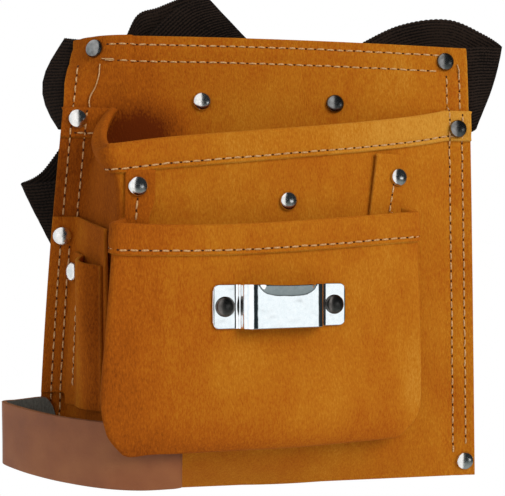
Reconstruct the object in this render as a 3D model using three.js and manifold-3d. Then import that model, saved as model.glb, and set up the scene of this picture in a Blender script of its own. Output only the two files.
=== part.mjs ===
// Carpenter's nail apron: one suede tool pouch on a webbing waist belt.
// Millimetres, +Z up, the front faces -Y. The origin is on the belt's centre line,
// on the body side of the webbing, in the middle of the pouch.
import * as THREE from 'three';
import Module from 'manifold-3d';
import { mergeVertices } from 'three/addons/utils/BufferGeometryUtils.js';

const wasm = await Module();
wasm.setup();

// Driving dimensions
const LEATHER = 2.0; // suede split, every layer
const CLEAR = 0.3; // air between two pieces that touch
const BELT_WIDTH = 50.0;
const BELT_THICK = 1.6;

const PANEL_HEIGHT = 252.0;
const PANEL_TOP_WIDTH = 230.0;
const PANEL_ABOVE_BELT_LINE = 24.0;
const PANEL_LEFT_FLARE = 18.0; // how much further left the bottom corner is
const PANEL_LEFT_BOW = 2.4;
const PANEL_RIGHT_FLARE = 4.0;
const PANEL_TOP_CROWN = 1.5;
const BOTTOM_WAVE = 1.2;
const CURL_LENGTH = 33.0; // top left corner that bends back round the hip
const CURL_HEIGHT = 44.0;
const CURL_ANGLE = 58.0;
const CURL_SLACK = 2.4; // extra air between the layers where they bend

const POCKET_TOP_DROP = 38.5; // below the panel's top edge, at the left flange
const POCKET_SAG = 23.5; // how much lower the mouth hangs at its front corner
const POCKET_DEPTH = 48.0; // front corner to panel
const POCKET_FLANGE = 17.0;
const POCKET_HEM = 16.0;
const CORNER_RADIUS = 7.0;

const FRONT_TOP_DROP = 108.0; // front pocket's mouth below the panel's top, left end
const FRONT_TOP_RISE = 9.0; // its right end is higher
const FRONT_HEIGHT = 119.0;
const FRONT_WIDTH = 176.0;
const FRONT_LEFT_IN = 22.0; // its left edge from the panel's top left corner line
const FRONT_HEM = 14.0;
const FRONT_DEPTH_LEFT = 24.0; // proud of the large pocket at its left edge
const FRONT_DEPTH_RIGHT = 7.5;
const FRONT_BELLY = 5.0;
const STRIP_SET_IN = 6.5; // the left strip's fold from the pocket's left edge
const STRIP_WIDTH = 15.0; // seam allowance turned inward at each side
const STRIP_RISE_LEFT = 27.0; // the allowances stand above the mouth
const STRIP_RISE_RIGHT = 24.0;

const SIDE_POCKET_DROP = 101.5; // side pocket's top below the panel's top
const SIDE_POCKET_SLOPE = 9.0;
const SIDE_POCKET_GAPE = 3.0; // air between the gusset and the side pocket
const SIDE_POCKET_HEIGHT = 96.0;

const SLEEVE_DROP = 19.0; // tool sleeve's top below the side pocket's top
const SLEEVE_HEIGHT = 70.0;
const SLEEVE_BULGE = 7.5;
const SLEEVE_TOP_SLOPE = 8.0;

const LOOP_STRAP_WIDTH = 33.0;
const LOOP_STRAP_THICK = 2.4;
const LOOP_DROP = 218.0; // middle of the hammer loop's strap below the panel's top
const LOOP_REACH_LEFT = 20.0; // past the panel's left edge
const LOOP_FORWARD = 58.0; // its front run from the panel

const CLIP_PLATE = 13.5;
const CLIP_RUN = 5.0;
const CLIP_RISE = 8.0;
const CLIP_BRIDGE = 41.5;
const CLIP_HEIGHT = 22.5;
const CLIP_THICK = 1.2;
const CLIP_CORNER = 3.5;
const CLIP_DROP = 149.0; // clip's middle below the panel's top
const CLIP_FROM_LEFT = 59.0; // clip's left rivet from the front pocket's left edge

const RIVET_CAP = 10.5;
const RIVET_DOME = 2.7;
const RIVET_SHANK = 3.6;
const RIVET_BURR = 8.0; // washer on the inside
const RIVET_BURR_THICK = 0.9;

const BUCKLE_LENGTH = 46.0;
const BUCKLE_THICK = 7.5;
const BUCKLE_RIM = 5.0;

// Depths of the flat stack at the panel, worked out from the layers
const Y_BELT = -BELT_THICK / 2;
const Y_PANEL = -BELT_THICK - CLEAR - LEATHER / 2;
const LAYER = LEATHER + CLEAR;
const Y_POCKET = Y_PANEL - LAYER;
const Y_SIDE = Y_POCKET - LAYER;
const Z_TOP = PANEL_ABOVE_BELT_LINE;
const Z_BOTTOM = Z_TOP - PANEL_HEIGHT;

const { lerp, clamp, degToRad } = THREE.MathUtils;
const ease = (t) => THREE.MathUtils.smoothstep(t, 0, 1);
const V = (x, y, z) => new THREE.Vector3(x, y, z);
const range = (n) => Array.from({ length: n + 1 }, (_, i) => i / n);

// A smooth value from a table: rows are in order of their column "at"
function fromTable(rows, name, at) {
  const last = rows.length - 2;
  const i = clamp(rows.findIndex((row) => row.at > at) - 1, 0, last);
  const k = at >= rows[last + 1].at ? last : i;
  const slope = (j) => {
    const a = rows[Math.max(j - 1, 0)];
    const b = rows[Math.min(j + 1, last + 1)];
    return (b[name] - a[name]) / (b.at - a.at);
  };
  const span = rows[k + 1].at - rows[k].at;
  const t = clamp((at - rows[k].at) / span, 0, 1);
  const t2 = t * t;
  const t3 = t2 * t;
  return (
    (2 * t3 - 3 * t2 + 1) * rows[k][name] +
    (t3 - 2 * t2 + t) * span * slope(k) +
    (3 * t2 - 2 * t3) * rows[k + 1][name] +
    (t3 - t2) * span * slope(k + 1)
  );
}

// Solids

function solidOf(geometry) {
  const plain = geometry.index ? geometry.clone() : mergeVertices(geometry);
  plain.deleteAttribute('normal');
  plain.deleteAttribute('uv');
  const merged = mergeVertices(plain, 1e-4);
  const vertProperties = new Float32Array(merged.attributes.position.array);
  const triVerts = new Uint32Array(merged.index.array);
  return new wasm.Manifold(new wasm.Mesh({ numProp: 3, vertProperties, triVerts }));
}

function geometryOf(solid) {
  const mesh = solid.getMesh();
  const geometry = new THREE.BufferGeometry();
  geometry.setAttribute('position', new THREE.BufferAttribute(mesh.vertProperties, 3));
  geometry.setIndex(new THREE.BufferAttribute(mesh.triVerts, 1));
  geometry.computeVertexNormals();
  return geometry;
}

// Unit normal of a grid of points, on the side that faces the wearer's front
function gridNormal(grid, j, i) {
  const row = grid[j];
  const across = row[Math.min(i + 1, row.length - 1)].clone().sub(row[Math.max(i - 1, 0)]);
  const down = grid[Math.min(j + 1, grid.length - 1)][i].clone();
  down.sub(grid[Math.max(j - 1, 0)][i]);
  return down.cross(across).normalize();
}

// A sheet of leather round a middle surface: grid[row from the top][column from the left].
// extra(j, i) is what a folded hem adds on the outer face.
function sheet(grid, thick = LEATHER, extra = () => 0) {
  const rows = grid.length;
  const cols = grid[0].length;
  const position = [];
  const put = (side) => {
    for (let j = 0; j < rows; j += 1) {
      for (let i = 0; i < cols; i += 1) {
        const out = side > 0 ? thick / 2 + extra(j, i) : -thick / 2;
        const p = grid[j][i].clone().addScaledVector(gridNormal(grid, j, i), out);
        position.push(p.x, p.y, p.z);
      }
    }
  };
  put(1);
  put(-1);
  const outer = (j, i) => j * cols + i;
  const inner = (j, i) => rows * cols + j * cols + i;
  const index = [];
  const quad = (a, b, c, d) => index.push(a, b, c, a, c, d);
  for (let j = 0; j < rows - 1; j += 1) {
    for (let i = 0; i < cols - 1; i += 1) {
      quad(outer(j, i), outer(j + 1, i), outer(j + 1, i + 1), outer(j, i + 1));
      quad(inner(j, i), inner(j, i + 1), inner(j + 1, i + 1), inner(j + 1, i));
    }
  }
  for (let j = 0; j < rows - 1; j += 1) {
    quad(inner(j, 0), inner(j + 1, 0), outer(j + 1, 0), outer(j, 0));
    const e = cols - 1;
    quad(outer(j, e), outer(j + 1, e), inner(j + 1, e), inner(j, e));
  }
  for (let i = 0; i < cols - 1; i += 1) {
    quad(inner(0, i), outer(0, i), outer(0, i + 1), inner(0, i + 1));
    const e = rows - 1;
    quad(outer(e, i), inner(e, i), inner(e, i + 1), outer(e, i + 1));
  }
  const geometry = new THREE.BufferGeometry();
  geometry.setAttribute('position', new THREE.Float32BufferAttribute(position, 3));
  geometry.setIndex(index);
  return solidOf(geometry);
}

// A path through corner points with each corner rounded, as a fixed number of points:
// steps[k] points along each straight, ARC_STEPS round each corner
const ARC_STEPS = 3;
function roundedPath(corners, radii, steps) {
  const path = [];
  let from = corners[0];
  for (let k = 1; k < corners.length; k += 1) {
    const corner = corners[k];
    const isEnd = k === corners.length - 1;
    const inward = corners[k - 1].clone().sub(corner).normalize();
    const outward = isEnd ? null : corners[k + 1].clone().sub(corner).normalize();
    const enter = isEnd ? corner : corner.clone().addScaledVector(inward, radii[k - 1]);
    for (let s = 0; s < steps[k - 1]; s += 1) {
      path.push(from.clone().lerp(enter, s / steps[k - 1]));
    }
    if (isEnd) {
      path.push(corner.clone());
      return path;
    }
    const leave = corner.clone().addScaledVector(outward, radii[k - 1]);
    const arc = new THREE.QuadraticBezierCurve3(enter, corner, leave);
    for (let s = 0; s < ARC_STEPS; s += 1) path.push(arc.getPoint(s / ARC_STEPS));
    from = leave;
  }
  return path;
}

// The middle surface of a grid where it shows at (x, z) from the front, and its normal
function faceAt(grid, x, z) {
  const flat = V(x, 0, z);
  const inPlan = (p) => V(p.x, 0, p.z);
  for (let j = 0; j < grid.length - 1; j += 1) {
    for (let i = 0; i < grid[0].length - 1; i += 1) {
      const [a, b, c, d] = [grid[j][i], grid[j][i + 1], grid[j + 1][i + 1], grid[j + 1][i]];
      for (const corners of [[a, d, c], [a, c, b]]) {
        const share = THREE.Triangle.getBarycoord(flat, ...corners.map(inPlan), V(0, 0, 0));
        if (!share || Math.min(share.x, share.y, share.z) < 0) continue;
        const point = V(0, 0, 0);
        corners.forEach((p, k) => point.addScaledVector(p, share.getComponent(k)));
        const normal = new THREE.Triangle(...corners).getNormal(V(0, 0, 0));
        // on a strip that is turned inward the grid runs backwards
        return { point, normal: normal.y < 0 ? normal : normal.negate() };
      }
    }
  }
  throw new Error(`no face at ${x}, ${z}`);
}

// Rivets: a domed cap, a shank and a washer on the inside, with the axis along the normal.
// seat is the point on the outer face, grip what lies between cap and washer.
const RIVET_SIDES = 12;
const HOLE_SIDES = 10;

function turnTo(geometry, seat, normal) {
  const turn = new THREE.Quaternion().setFromUnitVectors(V(0, 1, 0), normal);
  return geometry.applyQuaternion(turn).translate(seat.x, seat.y, seat.z);
}

function rivetGeometry({ seat, normal, grip }) {
  const r = RIVET_CAP / 2;
  const shank = RIVET_SHANK / 2;
  const low = -grip - CLEAR;
  const profile = [new THREE.Vector2(0, low - RIVET_BURR_THICK)];
  profile.push(new THREE.Vector2(RIVET_BURR / 2, low - RIVET_BURR_THICK));
  profile.push(new THREE.Vector2(RIVET_BURR / 2, low));
  profile.push(new THREE.Vector2(shank, low));
  profile.push(new THREE.Vector2(shank, CLEAR));
  profile.push(new THREE.Vector2(r, CLEAR));
  for (const share of [0, 0.42, 0.75]) {
    const angle = (share * Math.PI) / 2;
    profile.push(new THREE.Vector2(r * Math.cos(angle), CLEAR + 0.5 + RIVET_DOME * Math.sin(angle)));
  }
  profile.push(new THREE.Vector2(0, CLEAR + 0.5 + RIVET_DOME));
  return turnTo(new THREE.LatheGeometry(profile, RIVET_SIDES), seat, normal);
}

function rivetHole({ seat, normal, grip }) {
  const long = grip + 8;
  const hole = new THREE.CylinderGeometry(1, 1, long, HOLE_SIDES);
  const radius = RIVET_SHANK / 2 + CLEAR;
  hole.scale(radius, 1, radius).translate(0, -grip / 2, 0);
  return solidOf(turnTo(hole, seat, normal));
}

const drilled = (solid, rivets) => rivets.reduce((left, r) => left.subtract(rivetHole(r)), solid);

// The panel's outline and its curled corner

const downShare = (z) => (Z_TOP - z) / PANEL_HEIGHT;
const leftEdge = (z) => {
  const t = clamp(downShare(z), 0, 1);
  return -PANEL_TOP_WIDTH / 2 - PANEL_LEFT_FLARE * t - PANEL_LEFT_BOW * Math.sin(Math.PI * t);
};
const rightEdge = (z) => {
  const t = clamp(downShare(z), 0, 1);
  return PANEL_TOP_WIDTH / 2 + PANEL_RIGHT_FLARE * Math.sqrt(t);
};

// Bends a flat point at depth y back round the hip near the top left corner
function curled(x, y, z) {
  const start = -PANEL_TOP_WIDTH / 2 + CURL_LENGTH;
  const amount = ease(clamp((z - Z_TOP + CURL_HEIGHT) / CURL_HEIGHT, 0, 1));
  const s = start - x;
  if (s <= 0 || amount < 1e-3) return V(x, y, z);
  const radius = CURL_LENGTH / (degToRad(CURL_ANGLE) * amount);
  const angle = s / radius;
  // the outer layers stand off a little more where they bend
  const back = y - Y_BELT - (y < Y_BELT ? CURL_SLACK * Math.min(1, 3 * amount) : 0);
  return V(
    start - radius * Math.sin(angle) + back * Math.sin(angle),
    Y_BELT + radius * (1 - Math.cos(angle)) + back * Math.cos(angle),
    z,
  );
}

// Back panel: one flat piece of suede, its bottom edge a little wavy

const SEWN_INSET = 0.5; // the webbing leaves the panel this far inside its edges
const SEWN_SHARES = [0, 0.03, 0.06, 0.1, 0.15, 0.3, 0.5, 0.7, 0.9, 1];
const sewnX = (share) => (share - 0.5) * (PANEL_TOP_WIDTH - 2 * SEWN_INSET);
// the same columns and upper rows as the webbing's, so that both bend alike
const PANEL_ROWS = [Z_TOP, 0, -BELT_WIDTH / 2, ...range(7).map((t) => lerp(-45, Z_BOTTOM, t))];
const panelGrid = PANEL_ROWS.map((height) => {
  const columns = [leftEdge(height), ...SEWN_SHARES.map(sewnX), rightEdge(height)];
  return columns.map((x) => {
    const across = (x - columns[0]) / (columns[columns.length - 1] - columns[0]);
    const crown = height === Z_TOP ? PANEL_TOP_CROWN * Math.sin(Math.PI * across) : 0;
    const wave = height === Z_BOTTOM ? BOTTOM_WAVE * Math.sin(9 * across) : 0;
    return curled(x, Y_PANEL, height + crown + wave);
  });
});

// Large pocket: one piece that leaves the panel's left edge as a flange, comes forward as
// a gusset, turns at the front corner and runs flat to the panel's right edge

const POCKET_HEIGHT = PANEL_HEIGHT - POCKET_TOP_DROP;
// at: share of the pocket's height. base, fold: how far right of the panel's left edge the
// gusset starts and the front corner stands, as shares of the depth. depth: share of it.
const POCKET_SECTIONS = [
  { at: 0.0, base: 0.36, fold: 0.35, depth: 1.0 },
  { at: 0.11, base: 0.355, fold: 0.41, depth: 1.04 },
  { at: 0.2, base: 0.35, fold: 0.52, depth: 1.04 },
  { at: 0.31, base: 0.34, fold: 0.74, depth: 1.0 },
  { at: 0.5, base: 0.33, fold: 0.81, depth: 1.0 },
  { at: 0.78, base: 0.31, fold: 0.86, depth: 0.98 },
  { at: 0.86, base: 0.28, fold: 0.86, depth: 0.85 },
  { at: 0.93, base: 0.24, fold: 0.8, depth: 0.56 },
  { at: 1.0, base: 0.2, fold: 0.6, depth: 0.06 },
];
const HEM_STEP = 0.0025; // a hem's raw edge falls away over this share
const POCKET_HEM_SHARE = POCKET_HEM / POCKET_HEIGHT;
const POCKET_ROWS = [0, 0.04, POCKET_HEM_SHARE, POCKET_HEM_SHARE + HEM_STEP, 0.13, 0.19, 0.25, 0.31,
  0.4, 0.5, 0.6, 0.7, 0.78, 0.84, 0.89, 0.93, 0.965, 1];
const Z_POCKET = Z_TOP - POCKET_TOP_DROP;

// Depth that the pocket's front stands off the panel, from its corner to its right edge
function pocketSection(z) {
  const at = clamp((Z_POCKET - z) / POCKET_HEIGHT, 0, 1);
  const left = leftEdge(z);
  return {
    left,
    right: rightEdge(z),
    base: left + POCKET_DEPTH * fromTable(POCKET_SECTIONS, 'base', at),
    fold: left + POCKET_DEPTH * fromTable(POCKET_SECTIONS, 'fold', at),
    depth: POCKET_DEPTH * fromTable(POCKET_SECTIONS, 'depth', at),
  };
}

function pocketFrontY(x, z) {
  const { fold, right, depth } = pocketSection(z);
  const seam = right - POCKET_FLANGE;
  return Y_POCKET - depth * clamp((seam - x) / (seam - fold), 0, 1);
}

const POCKET_STEPS = [2, 3, 7, 2];
function pocketRow(v) {
  // the mouth hangs lower towards its front corner, so the rows start at their own height
  const mouth = (share) => Z_POCKET - POCKET_SAG * share;
  const path = (z) => {
    const { left, right, base, fold, depth } = pocketSection(z);
    const radius = Math.min(CORNER_RADIUS, depth * 0.3);
    const corners = [
      V(left, Y_POCKET, z),
      V(base, Y_POCKET, z),
      V(fold, Y_POCKET - depth, z),
      V(right - POCKET_FLANGE, Y_POCKET, z),
      V(right, Y_POCKET, z),
    ];
    return roundedPath(corners, [Math.min(radius, 2.5), radius, 2], POCKET_STEPS);
  };
  const start = path(mouth(0.5));
  return start.map((_, i) => {
    const forward = (Y_POCKET - start[i].y) / POCKET_DEPTH;
    const isFront = i > POCKET_STEPS[0] + POCKET_STEPS[1] + ARC_STEPS + 2;
    const rise = isFront ? forward ** 0.8 : ease(forward);
    const z = lerp(mouth(rise) + (isFront ? 3 * (1 - rise) : 0), Z_BOTTOM + 0.6, v);
    return path(z)[i];
  });
}
const pocketGrid = POCKET_ROWS.map(pocketRow);
const pocketHem = (j) => (POCKET_ROWS[j] <= POCKET_HEM_SHARE ? LEATHER : 0);

// Front pocket: a bag sewn to the front of the large pocket by a seam allowance that is
// turned inward at each side and stands above its mouth

const Z_FRONT = Z_TOP - FRONT_TOP_DROP;
const X_FRONT = -PANEL_TOP_WIDTH / 2 + FRONT_LEFT_IN;
const STAND_OFF = LAYER * 1.06; // along Y between the large pocket and a strip on its slope
// at: share of the way down and under. drop: share of its height. proud: share of its depth.
// left, right: how far its two edges move, as shares of its width.
const FRONT_SECTIONS = [
  { at: 0.0, drop: 0.0, proud: 1.0, left: 0.0, right: 0.0 },
  { at: 0.35, drop: 0.42, proud: 1.0, left: -0.012, right: 0.01 },
  { at: 0.62, drop: 0.76, proud: 1.0, left: -0.02, right: 0.01 },
  { at: 0.76, drop: 0.9, proud: 1.0, left: -0.006, right: 0.0 },
  { at: 0.84, drop: 0.975, proud: 0.98, left: 0.03, right: -0.04 },
  { at: 0.9, drop: 1.0, proud: 0.9, left: 0.06, right: -0.08 },
  { at: 0.95, drop: 0.87, proud: 0.7, left: 0.075, right: -0.1 },
  { at: 1.0, drop: 0.78, proud: 0.0, left: 0.085, right: -0.11 },
];
const FACE_RUN = 1.2; // the face falls this much of its height per unit of the rows
const FRONT_HEM_SHARE = FRONT_HEM / (FACE_RUN * FRONT_HEIGHT);
const FRONT_ROWS = [0, FRONT_HEM_SHARE, FRONT_HEM_SHARE + HEM_STEP, 0.2, 0.3, 0.42, 0.54, 0.63,
  0.7, 0.76, 0.8, 0.84, 0.87, 0.9, 0.925, 0.95, 0.975, 1];
const FRONT_STEPS = [1, 2, 8, 2, 1];
const STRIP_END = 0.66; // the strips stop above the bottom seam, as a share of the height

// The flat front face, before its belly
function frontFaceY(x) {
  const share = (x - X_FRONT) / FRONT_WIDTH;
  const left = pocketFrontY(X_FRONT + FRONT_DEPTH_LEFT, Z_FRONT - FRONT_HEIGHT / 2);
  const right = pocketFrontY(X_FRONT + FRONT_WIDTH, Z_FRONT - FRONT_HEIGHT / 2);
  return lerp(left - FRONT_DEPTH_LEFT, right - FRONT_DEPTH_RIGHT, share) - STAND_OFF;
}

function frontRow(v) {
  const drop = fromTable(FRONT_SECTIONS, 'drop', v) * FRONT_HEIGHT;
  const proud = clamp(fromTable(FRONT_SECTIONS, 'proud', v), 0, 1);
  const left = X_FRONT + FRONT_WIDTH * fromTable(FRONT_SECTIONS, 'left', v);
  const right = X_FRONT + FRONT_WIDTH * (1 + fromTable(FRONT_SECTIONS, 'right', v));
  const rise = lerp(FRONT_TOP_RISE, -FRONT_TOP_RISE / 2, v);
  const zLeft = Z_FRONT - drop;
  const zRight = zLeft + rise;
  const zStrip = (top, tall) => lerp(top + tall, top - STRIP_END * FRONT_HEIGHT, v);
  const zStripLeft = zStrip(Z_FRONT, STRIP_RISE_LEFT);
  const zStripRight = zStrip(Z_FRONT + FRONT_TOP_RISE, STRIP_RISE_RIGHT);
  const onPocket = (x, z) => V(x, pocketFrontY(x, z) - STAND_OFF, z);
  const baseLeft = Math.max(X_FRONT + STRIP_SET_IN, left + LAYER);
  const baseRight = right - FRONT_DEPTH_RIGHT;
  const face = (x, z) => V(x, lerp(onPocket(x, z).y, frontFaceY(x), proud), z);
  const corners = [
    onPocket(baseLeft + STRIP_WIDTH, zStripLeft),
    onPocket(baseLeft, zStripLeft),
    face(left, zLeft),
    face(right, zRight),
    onPocket(baseRight, zStripRight),
    onPocket(baseRight - STRIP_WIDTH, zStripRight),
  ];
  const radius = Math.max(1, 5 * proud);
  const row = roundedPath(corners, [1.5, radius, Math.max(1, 2.5 * proud), 1], FRONT_STEPS);
  const swell = FRONT_BELLY * Math.sin(Math.PI * clamp((v - 0.43) / 0.55, 0, 1)) ** 1.3;
  return row.map((p) => {
    const across = clamp((p.x - left) / (right - left), 0, 1);
    const isFace = p.y < onPocket(p.x, p.z).y - FRONT_DEPTH_RIGHT * 0.4 * proud;
    return isFace ? p.add(V(0, -swell * Math.sin(Math.PI * across) ** 0.8, 0)) : p;
  });
}
const frontGrid = FRONT_ROWS.map(frontRow);
const frontHem = (j, i) => {
  const first = FRONT_STEPS[0] + ARC_STEPS;
  const isWall = i >= first && i <= frontGrid[0].length - 1 - first;
  return isWall && FRONT_ROWS[j] <= FRONT_HEM_SHARE ? LEATHER : 0;
};

// Side pocket: follows the gusset outside it, sewn in at the panel's left edge

const Z_SIDE = Z_TOP - SIDE_POCKET_DROP;
function sidePath(z, v) {
  const { left, base, fold, depth } = pocketSection(z);
  const slant = Math.atan2(fold - base, depth);
  const near = (LAYER + CLEAR) / Math.cos(slant);
  const far = near + (SIDE_POCKET_GAPE * (1 - v)) / Math.cos(slant);
  const start = V(base - near, Y_SIDE, z);
  const end = V(lerp(base, fold, 0.92) - far, Y_POCKET - depth * 0.92, z);
  return { left: V(left, Y_SIDE, z), start, end, slant };
}
const sideRow = (v) => {
  const zAt = (share) => lerp(Z_SIDE - SIDE_POCKET_SLOPE * share, Z_SIDE - SIDE_POCKET_HEIGHT, v);
  const path = (z) => {
    const { left, start, end } = sidePath(z, v);
    return roundedPath([left, start, end], [2.5], [2, 7]);
  };
  const flat = path(zAt(0));
  return flat.map((p, i) => path(zAt((Y_SIDE - p.y) / POCKET_DEPTH))[i]);
};
const sideGrid = range(8).map(sideRow);

// Tool sleeve: a narrow half tube on the side pocket, for a pencil or a nail punch

const SLEEVE_FROM = 0.16;
const SLEEVE_TO = 0.94;
const sleeveRow = (v) => {
  const across = [0, 0.5, 1, 1.6, 2.4, 3.4, 4.4, 5.4, 6.2, 6.8, 7.2, 7.6, 8.2].map((n) => n / 8.2);
  return across.map((s) => {
    const z = lerp(
      Z_SIDE - SLEEVE_DROP - SLEEVE_TOP_SLOPE * s,
      Z_SIDE - SLEEVE_DROP - SLEEVE_HEIGHT,
      v,
    );
    const sideShare = clamp((Z_SIDE - z) / SIDE_POCKET_HEIGHT, 0, 1);
    const { start, end, slant } = sidePath(z, sideShare);
    const tube = clamp((s - 0.2) / 0.74, 0, 1);
    const bulge = SLEEVE_BULGE * Math.sin(Math.PI * tube ** 1.25) ** 0.8 * lerp(1, 0.45, ease(v));
    const out = LAYER + bulge;
    const wall = start.clone().lerp(end, lerp(SLEEVE_FROM, SLEEVE_TO, s));
    return wall.add(V(-Math.cos(slant) * out, -Math.sin(slant) * out, 0));
  });
};
const sleeveGrid = range(8).map(sleeveRow);

// Hammer loop: a smooth leather strap, its rear end sewn under the pouch's left edge, bent
// forward round the corner and back under the front pocket

const Z_LOOP = Z_TOP - LOOP_DROP;
const Y_LOOP = Y_POCKET - LEATHER / 2 - CLEAR - LOOP_STRAP_THICK / 2;
// right: from the panel's left edge, as a share of the reach. forward: share of the front
// run's distance. low: how far the strap hangs below its rear end, as a share of its width.
const LOOP_RUN = [
  { at: 0.0, right: 0.42, forward: 0.0, low: -0.04 },
  { at: 0.06, right: 0.0, forward: 0.0, low: -0.04 },
  { at: 0.14, right: -0.7, forward: 0.005, low: 0.0 },
  { at: 0.175, right: -0.96, forward: 0.035, low: 0.0 },
  { at: 0.2, right: -1.0, forward: 0.09, low: 0.0 },
  { at: 0.24, right: -0.86, forward: 0.17, low: 0.0 },
  { at: 0.34, right: -0.2, forward: 0.45, low: 0.03 },
  { at: 0.46, right: 0.65, forward: 0.72, low: 0.07 },
  { at: 0.6, right: 1.7, forward: 0.96, low: 0.16 },
  { at: 0.72, right: 2.6, forward: 1.0, low: 0.28 },
  { at: 0.83, right: 3.45, forward: 0.985, low: 0.33 },
  { at: 0.87, right: 3.64, forward: 0.945, low: 0.33 },
  { at: 0.905, right: 3.5, forward: 0.895, low: 0.33 },
  { at: 1.0, right: 2.85, forward: 0.875, low: 0.33 },
];
const loopPath = range(44).map((t) => {
  const z = Z_LOOP - LOOP_STRAP_WIDTH * fromTable(LOOP_RUN, 'low', t);
  const x = leftEdge(Z_LOOP) + LOOP_REACH_LEFT * fromTable(LOOP_RUN, 'right', t);
  const y = Y_LOOP - (LOOP_FORWARD + Y_LOOP) * Math.max(0, fromTable(LOOP_RUN, 'forward', t));
  return V(x, y, z);
});
const loopGrid = [0.5, 0.25, 0, -0.25, -0.5].map((w) => loopPath.map((p, k) => {
  // both ends are cut round
  const fromEnd = Math.min(k, loopPath.length - 1 - k) / 2.2;
  const tall = fromEnd < 1 ? Math.sqrt(1 - 0.8 * (1 - fromEnd) ** 2) : 1;
  return p.clone().add(V(0, 0, w * LOOP_STRAP_WIDTH * tall));
}));

// Waist belt: one closed loop of webbing, sewn behind the panel's top edge. The rest is
// bunched behind the panel: it turns at the right edge, runs down to the lower left, turns,
// rises above the top edge, turns again and comes back round the curled corner.

const BELT_DEPTH = 28.0; // how far the bunch stands behind the panel
const X_HALF = PANEL_TOP_WIDTH / 2;
// across: share of half the panel's width. back: share of the bunch's depth. up: share of the
// belt's width. lean: degrees its width leans to the right of upright. bow: share of its
// width that its middle stands out past its edges.
const BELT_RUN = [
  { across: 1.08, back: 0.07, up: 0.03, lean: 6, bow: 0 },
  { across: 1.165, back: 0.36, up: 0.1, lean: 20, bow: 0.05 },
  { across: 1.09, back: 0.62, up: 0.28, lean: 20, bow: 0 },
  { across: 0.955, back: 0.68, up: 0.42, lean: 5, bow: 0 },
  { across: 0.8, back: 0.68, up: 0.37, lean: -20, bow: 0 },
  { across: 0.61, back: 0.64, up: 0.16, lean: -31, bow: 0 },
  { across: 0.26, back: 0.43, up: -0.34, lean: -32, bow: 0 },
  { across: -0.26, back: 0.29, up: -1.06, lean: -30, bow: 0 },
  { across: -0.74, back: 0.27, up: -1.5, lean: -16, bow: 0 },
  { across: -0.97, back: 0.29, up: -1.6, lean: -6, bow: 0 },
  { across: -1.135, back: 0.45, up: -1.61, lean: -28, bow: 0.03 },
  { across: -0.97, back: 0.61, up: -1.32, lean: -50, bow: 0 },
  { across: -0.765, back: 0.64, up: -0.64, lean: -56, bow: 0 },
  { across: -0.54, back: 0.64, up: 0.04, lean: -54, bow: 0 },
  { across: -0.31, back: 0.68, up: 0.6, lean: -50, bow: 0 },
  { across: -0.165, back: 0.84, up: 0.74, lean: -45, bow: 0 },
  { across: -0.31, back: 1.0, up: 0.68, lean: -25, bow: 0 },
  { across: -0.52, back: 1.03, up: 0.49, lean: -12, bow: 0 },
  { across: -0.645, back: 1.0, up: 0.37, lean: -8, bow: 0 },
  { across: -0.735, back: 0.97, up: -0.02, lean: -8, bow: 0 },
  { across: -0.87, back: 0.92, up: -0.05, lean: -3, bow: 0 },
  { across: -0.99, back: 0.82, up: 0.0, lean: -2, bow: 0.02 },
];
const BELT_ACROSS = [-0.5, 0, 0.5];
const BELT_SUBSTEPS = 3;

function beltStations() {
  const sewnLeft = sewnX(0);
  const sewn = SEWN_SHARES.map((u) => {
    return BELT_ACROSS.map((w) => curled(sewnX(u), Y_BELT, w * BELT_WIDTH));
  });
  const place = (row) => BELT_ACROSS.map((w) => {
    const lean = degToRad(row.lean);
    const out = row.bow * BELT_WIDTH * (1 - 4 * w * w) * Math.sign(row.across);
    return V(
      row.across * X_HALF + Math.sin(lean) * w * BELT_WIDTH + out,
      Y_BELT + row.back * BELT_DEPTH,
      row.up * BELT_WIDTH + Math.cos(lean) * w * BELT_WIDTH,
    );
  });
  // the last turn, round the curled corner, leans back with it
  const corner = (out, along) => BELT_ACROSS.map((w) => {
    const end = curled(sewnLeft, Y_BELT, w * BELT_WIDTH);
    const bowed = (1 - 4 * w * w) * out * BELT_WIDTH * 0.16;
    return V(
      end.x - BELT_WIDTH * (0.16 + 0.04 * w) * out - bowed,
      lerp(end.y, Y_BELT + BELT_DEPTH * 0.82, along),
      w * BELT_WIDTH * 1.04,
    );
  });
  const free = [...BELT_RUN.map(place), corner(0.95, 0.62), corner(1.0, 0.34)];
  const anchors = [sewn[sewn.length - 2], sewn[sewn.length - 1], ...free, sewn[0], sewn[1]];
  const stations = [...sewn];
  const curves = BELT_ACROSS.map((_, k) => {
    const line = anchors.map((section) => section[k]);
    return new THREE.CatmullRomCurve3(line, false, 'catmullrom', 0.5);
  });
  const spans = anchors.length - 1;
  for (let s = 1; s < (spans - 2) * BELT_SUBSTEPS; s += 1) {
    const at = (1 + s / BELT_SUBSTEPS) / spans;
    stations.push(curves.map((curve) => curve.getPoint(at)));
  }
  return stations;
}

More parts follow.
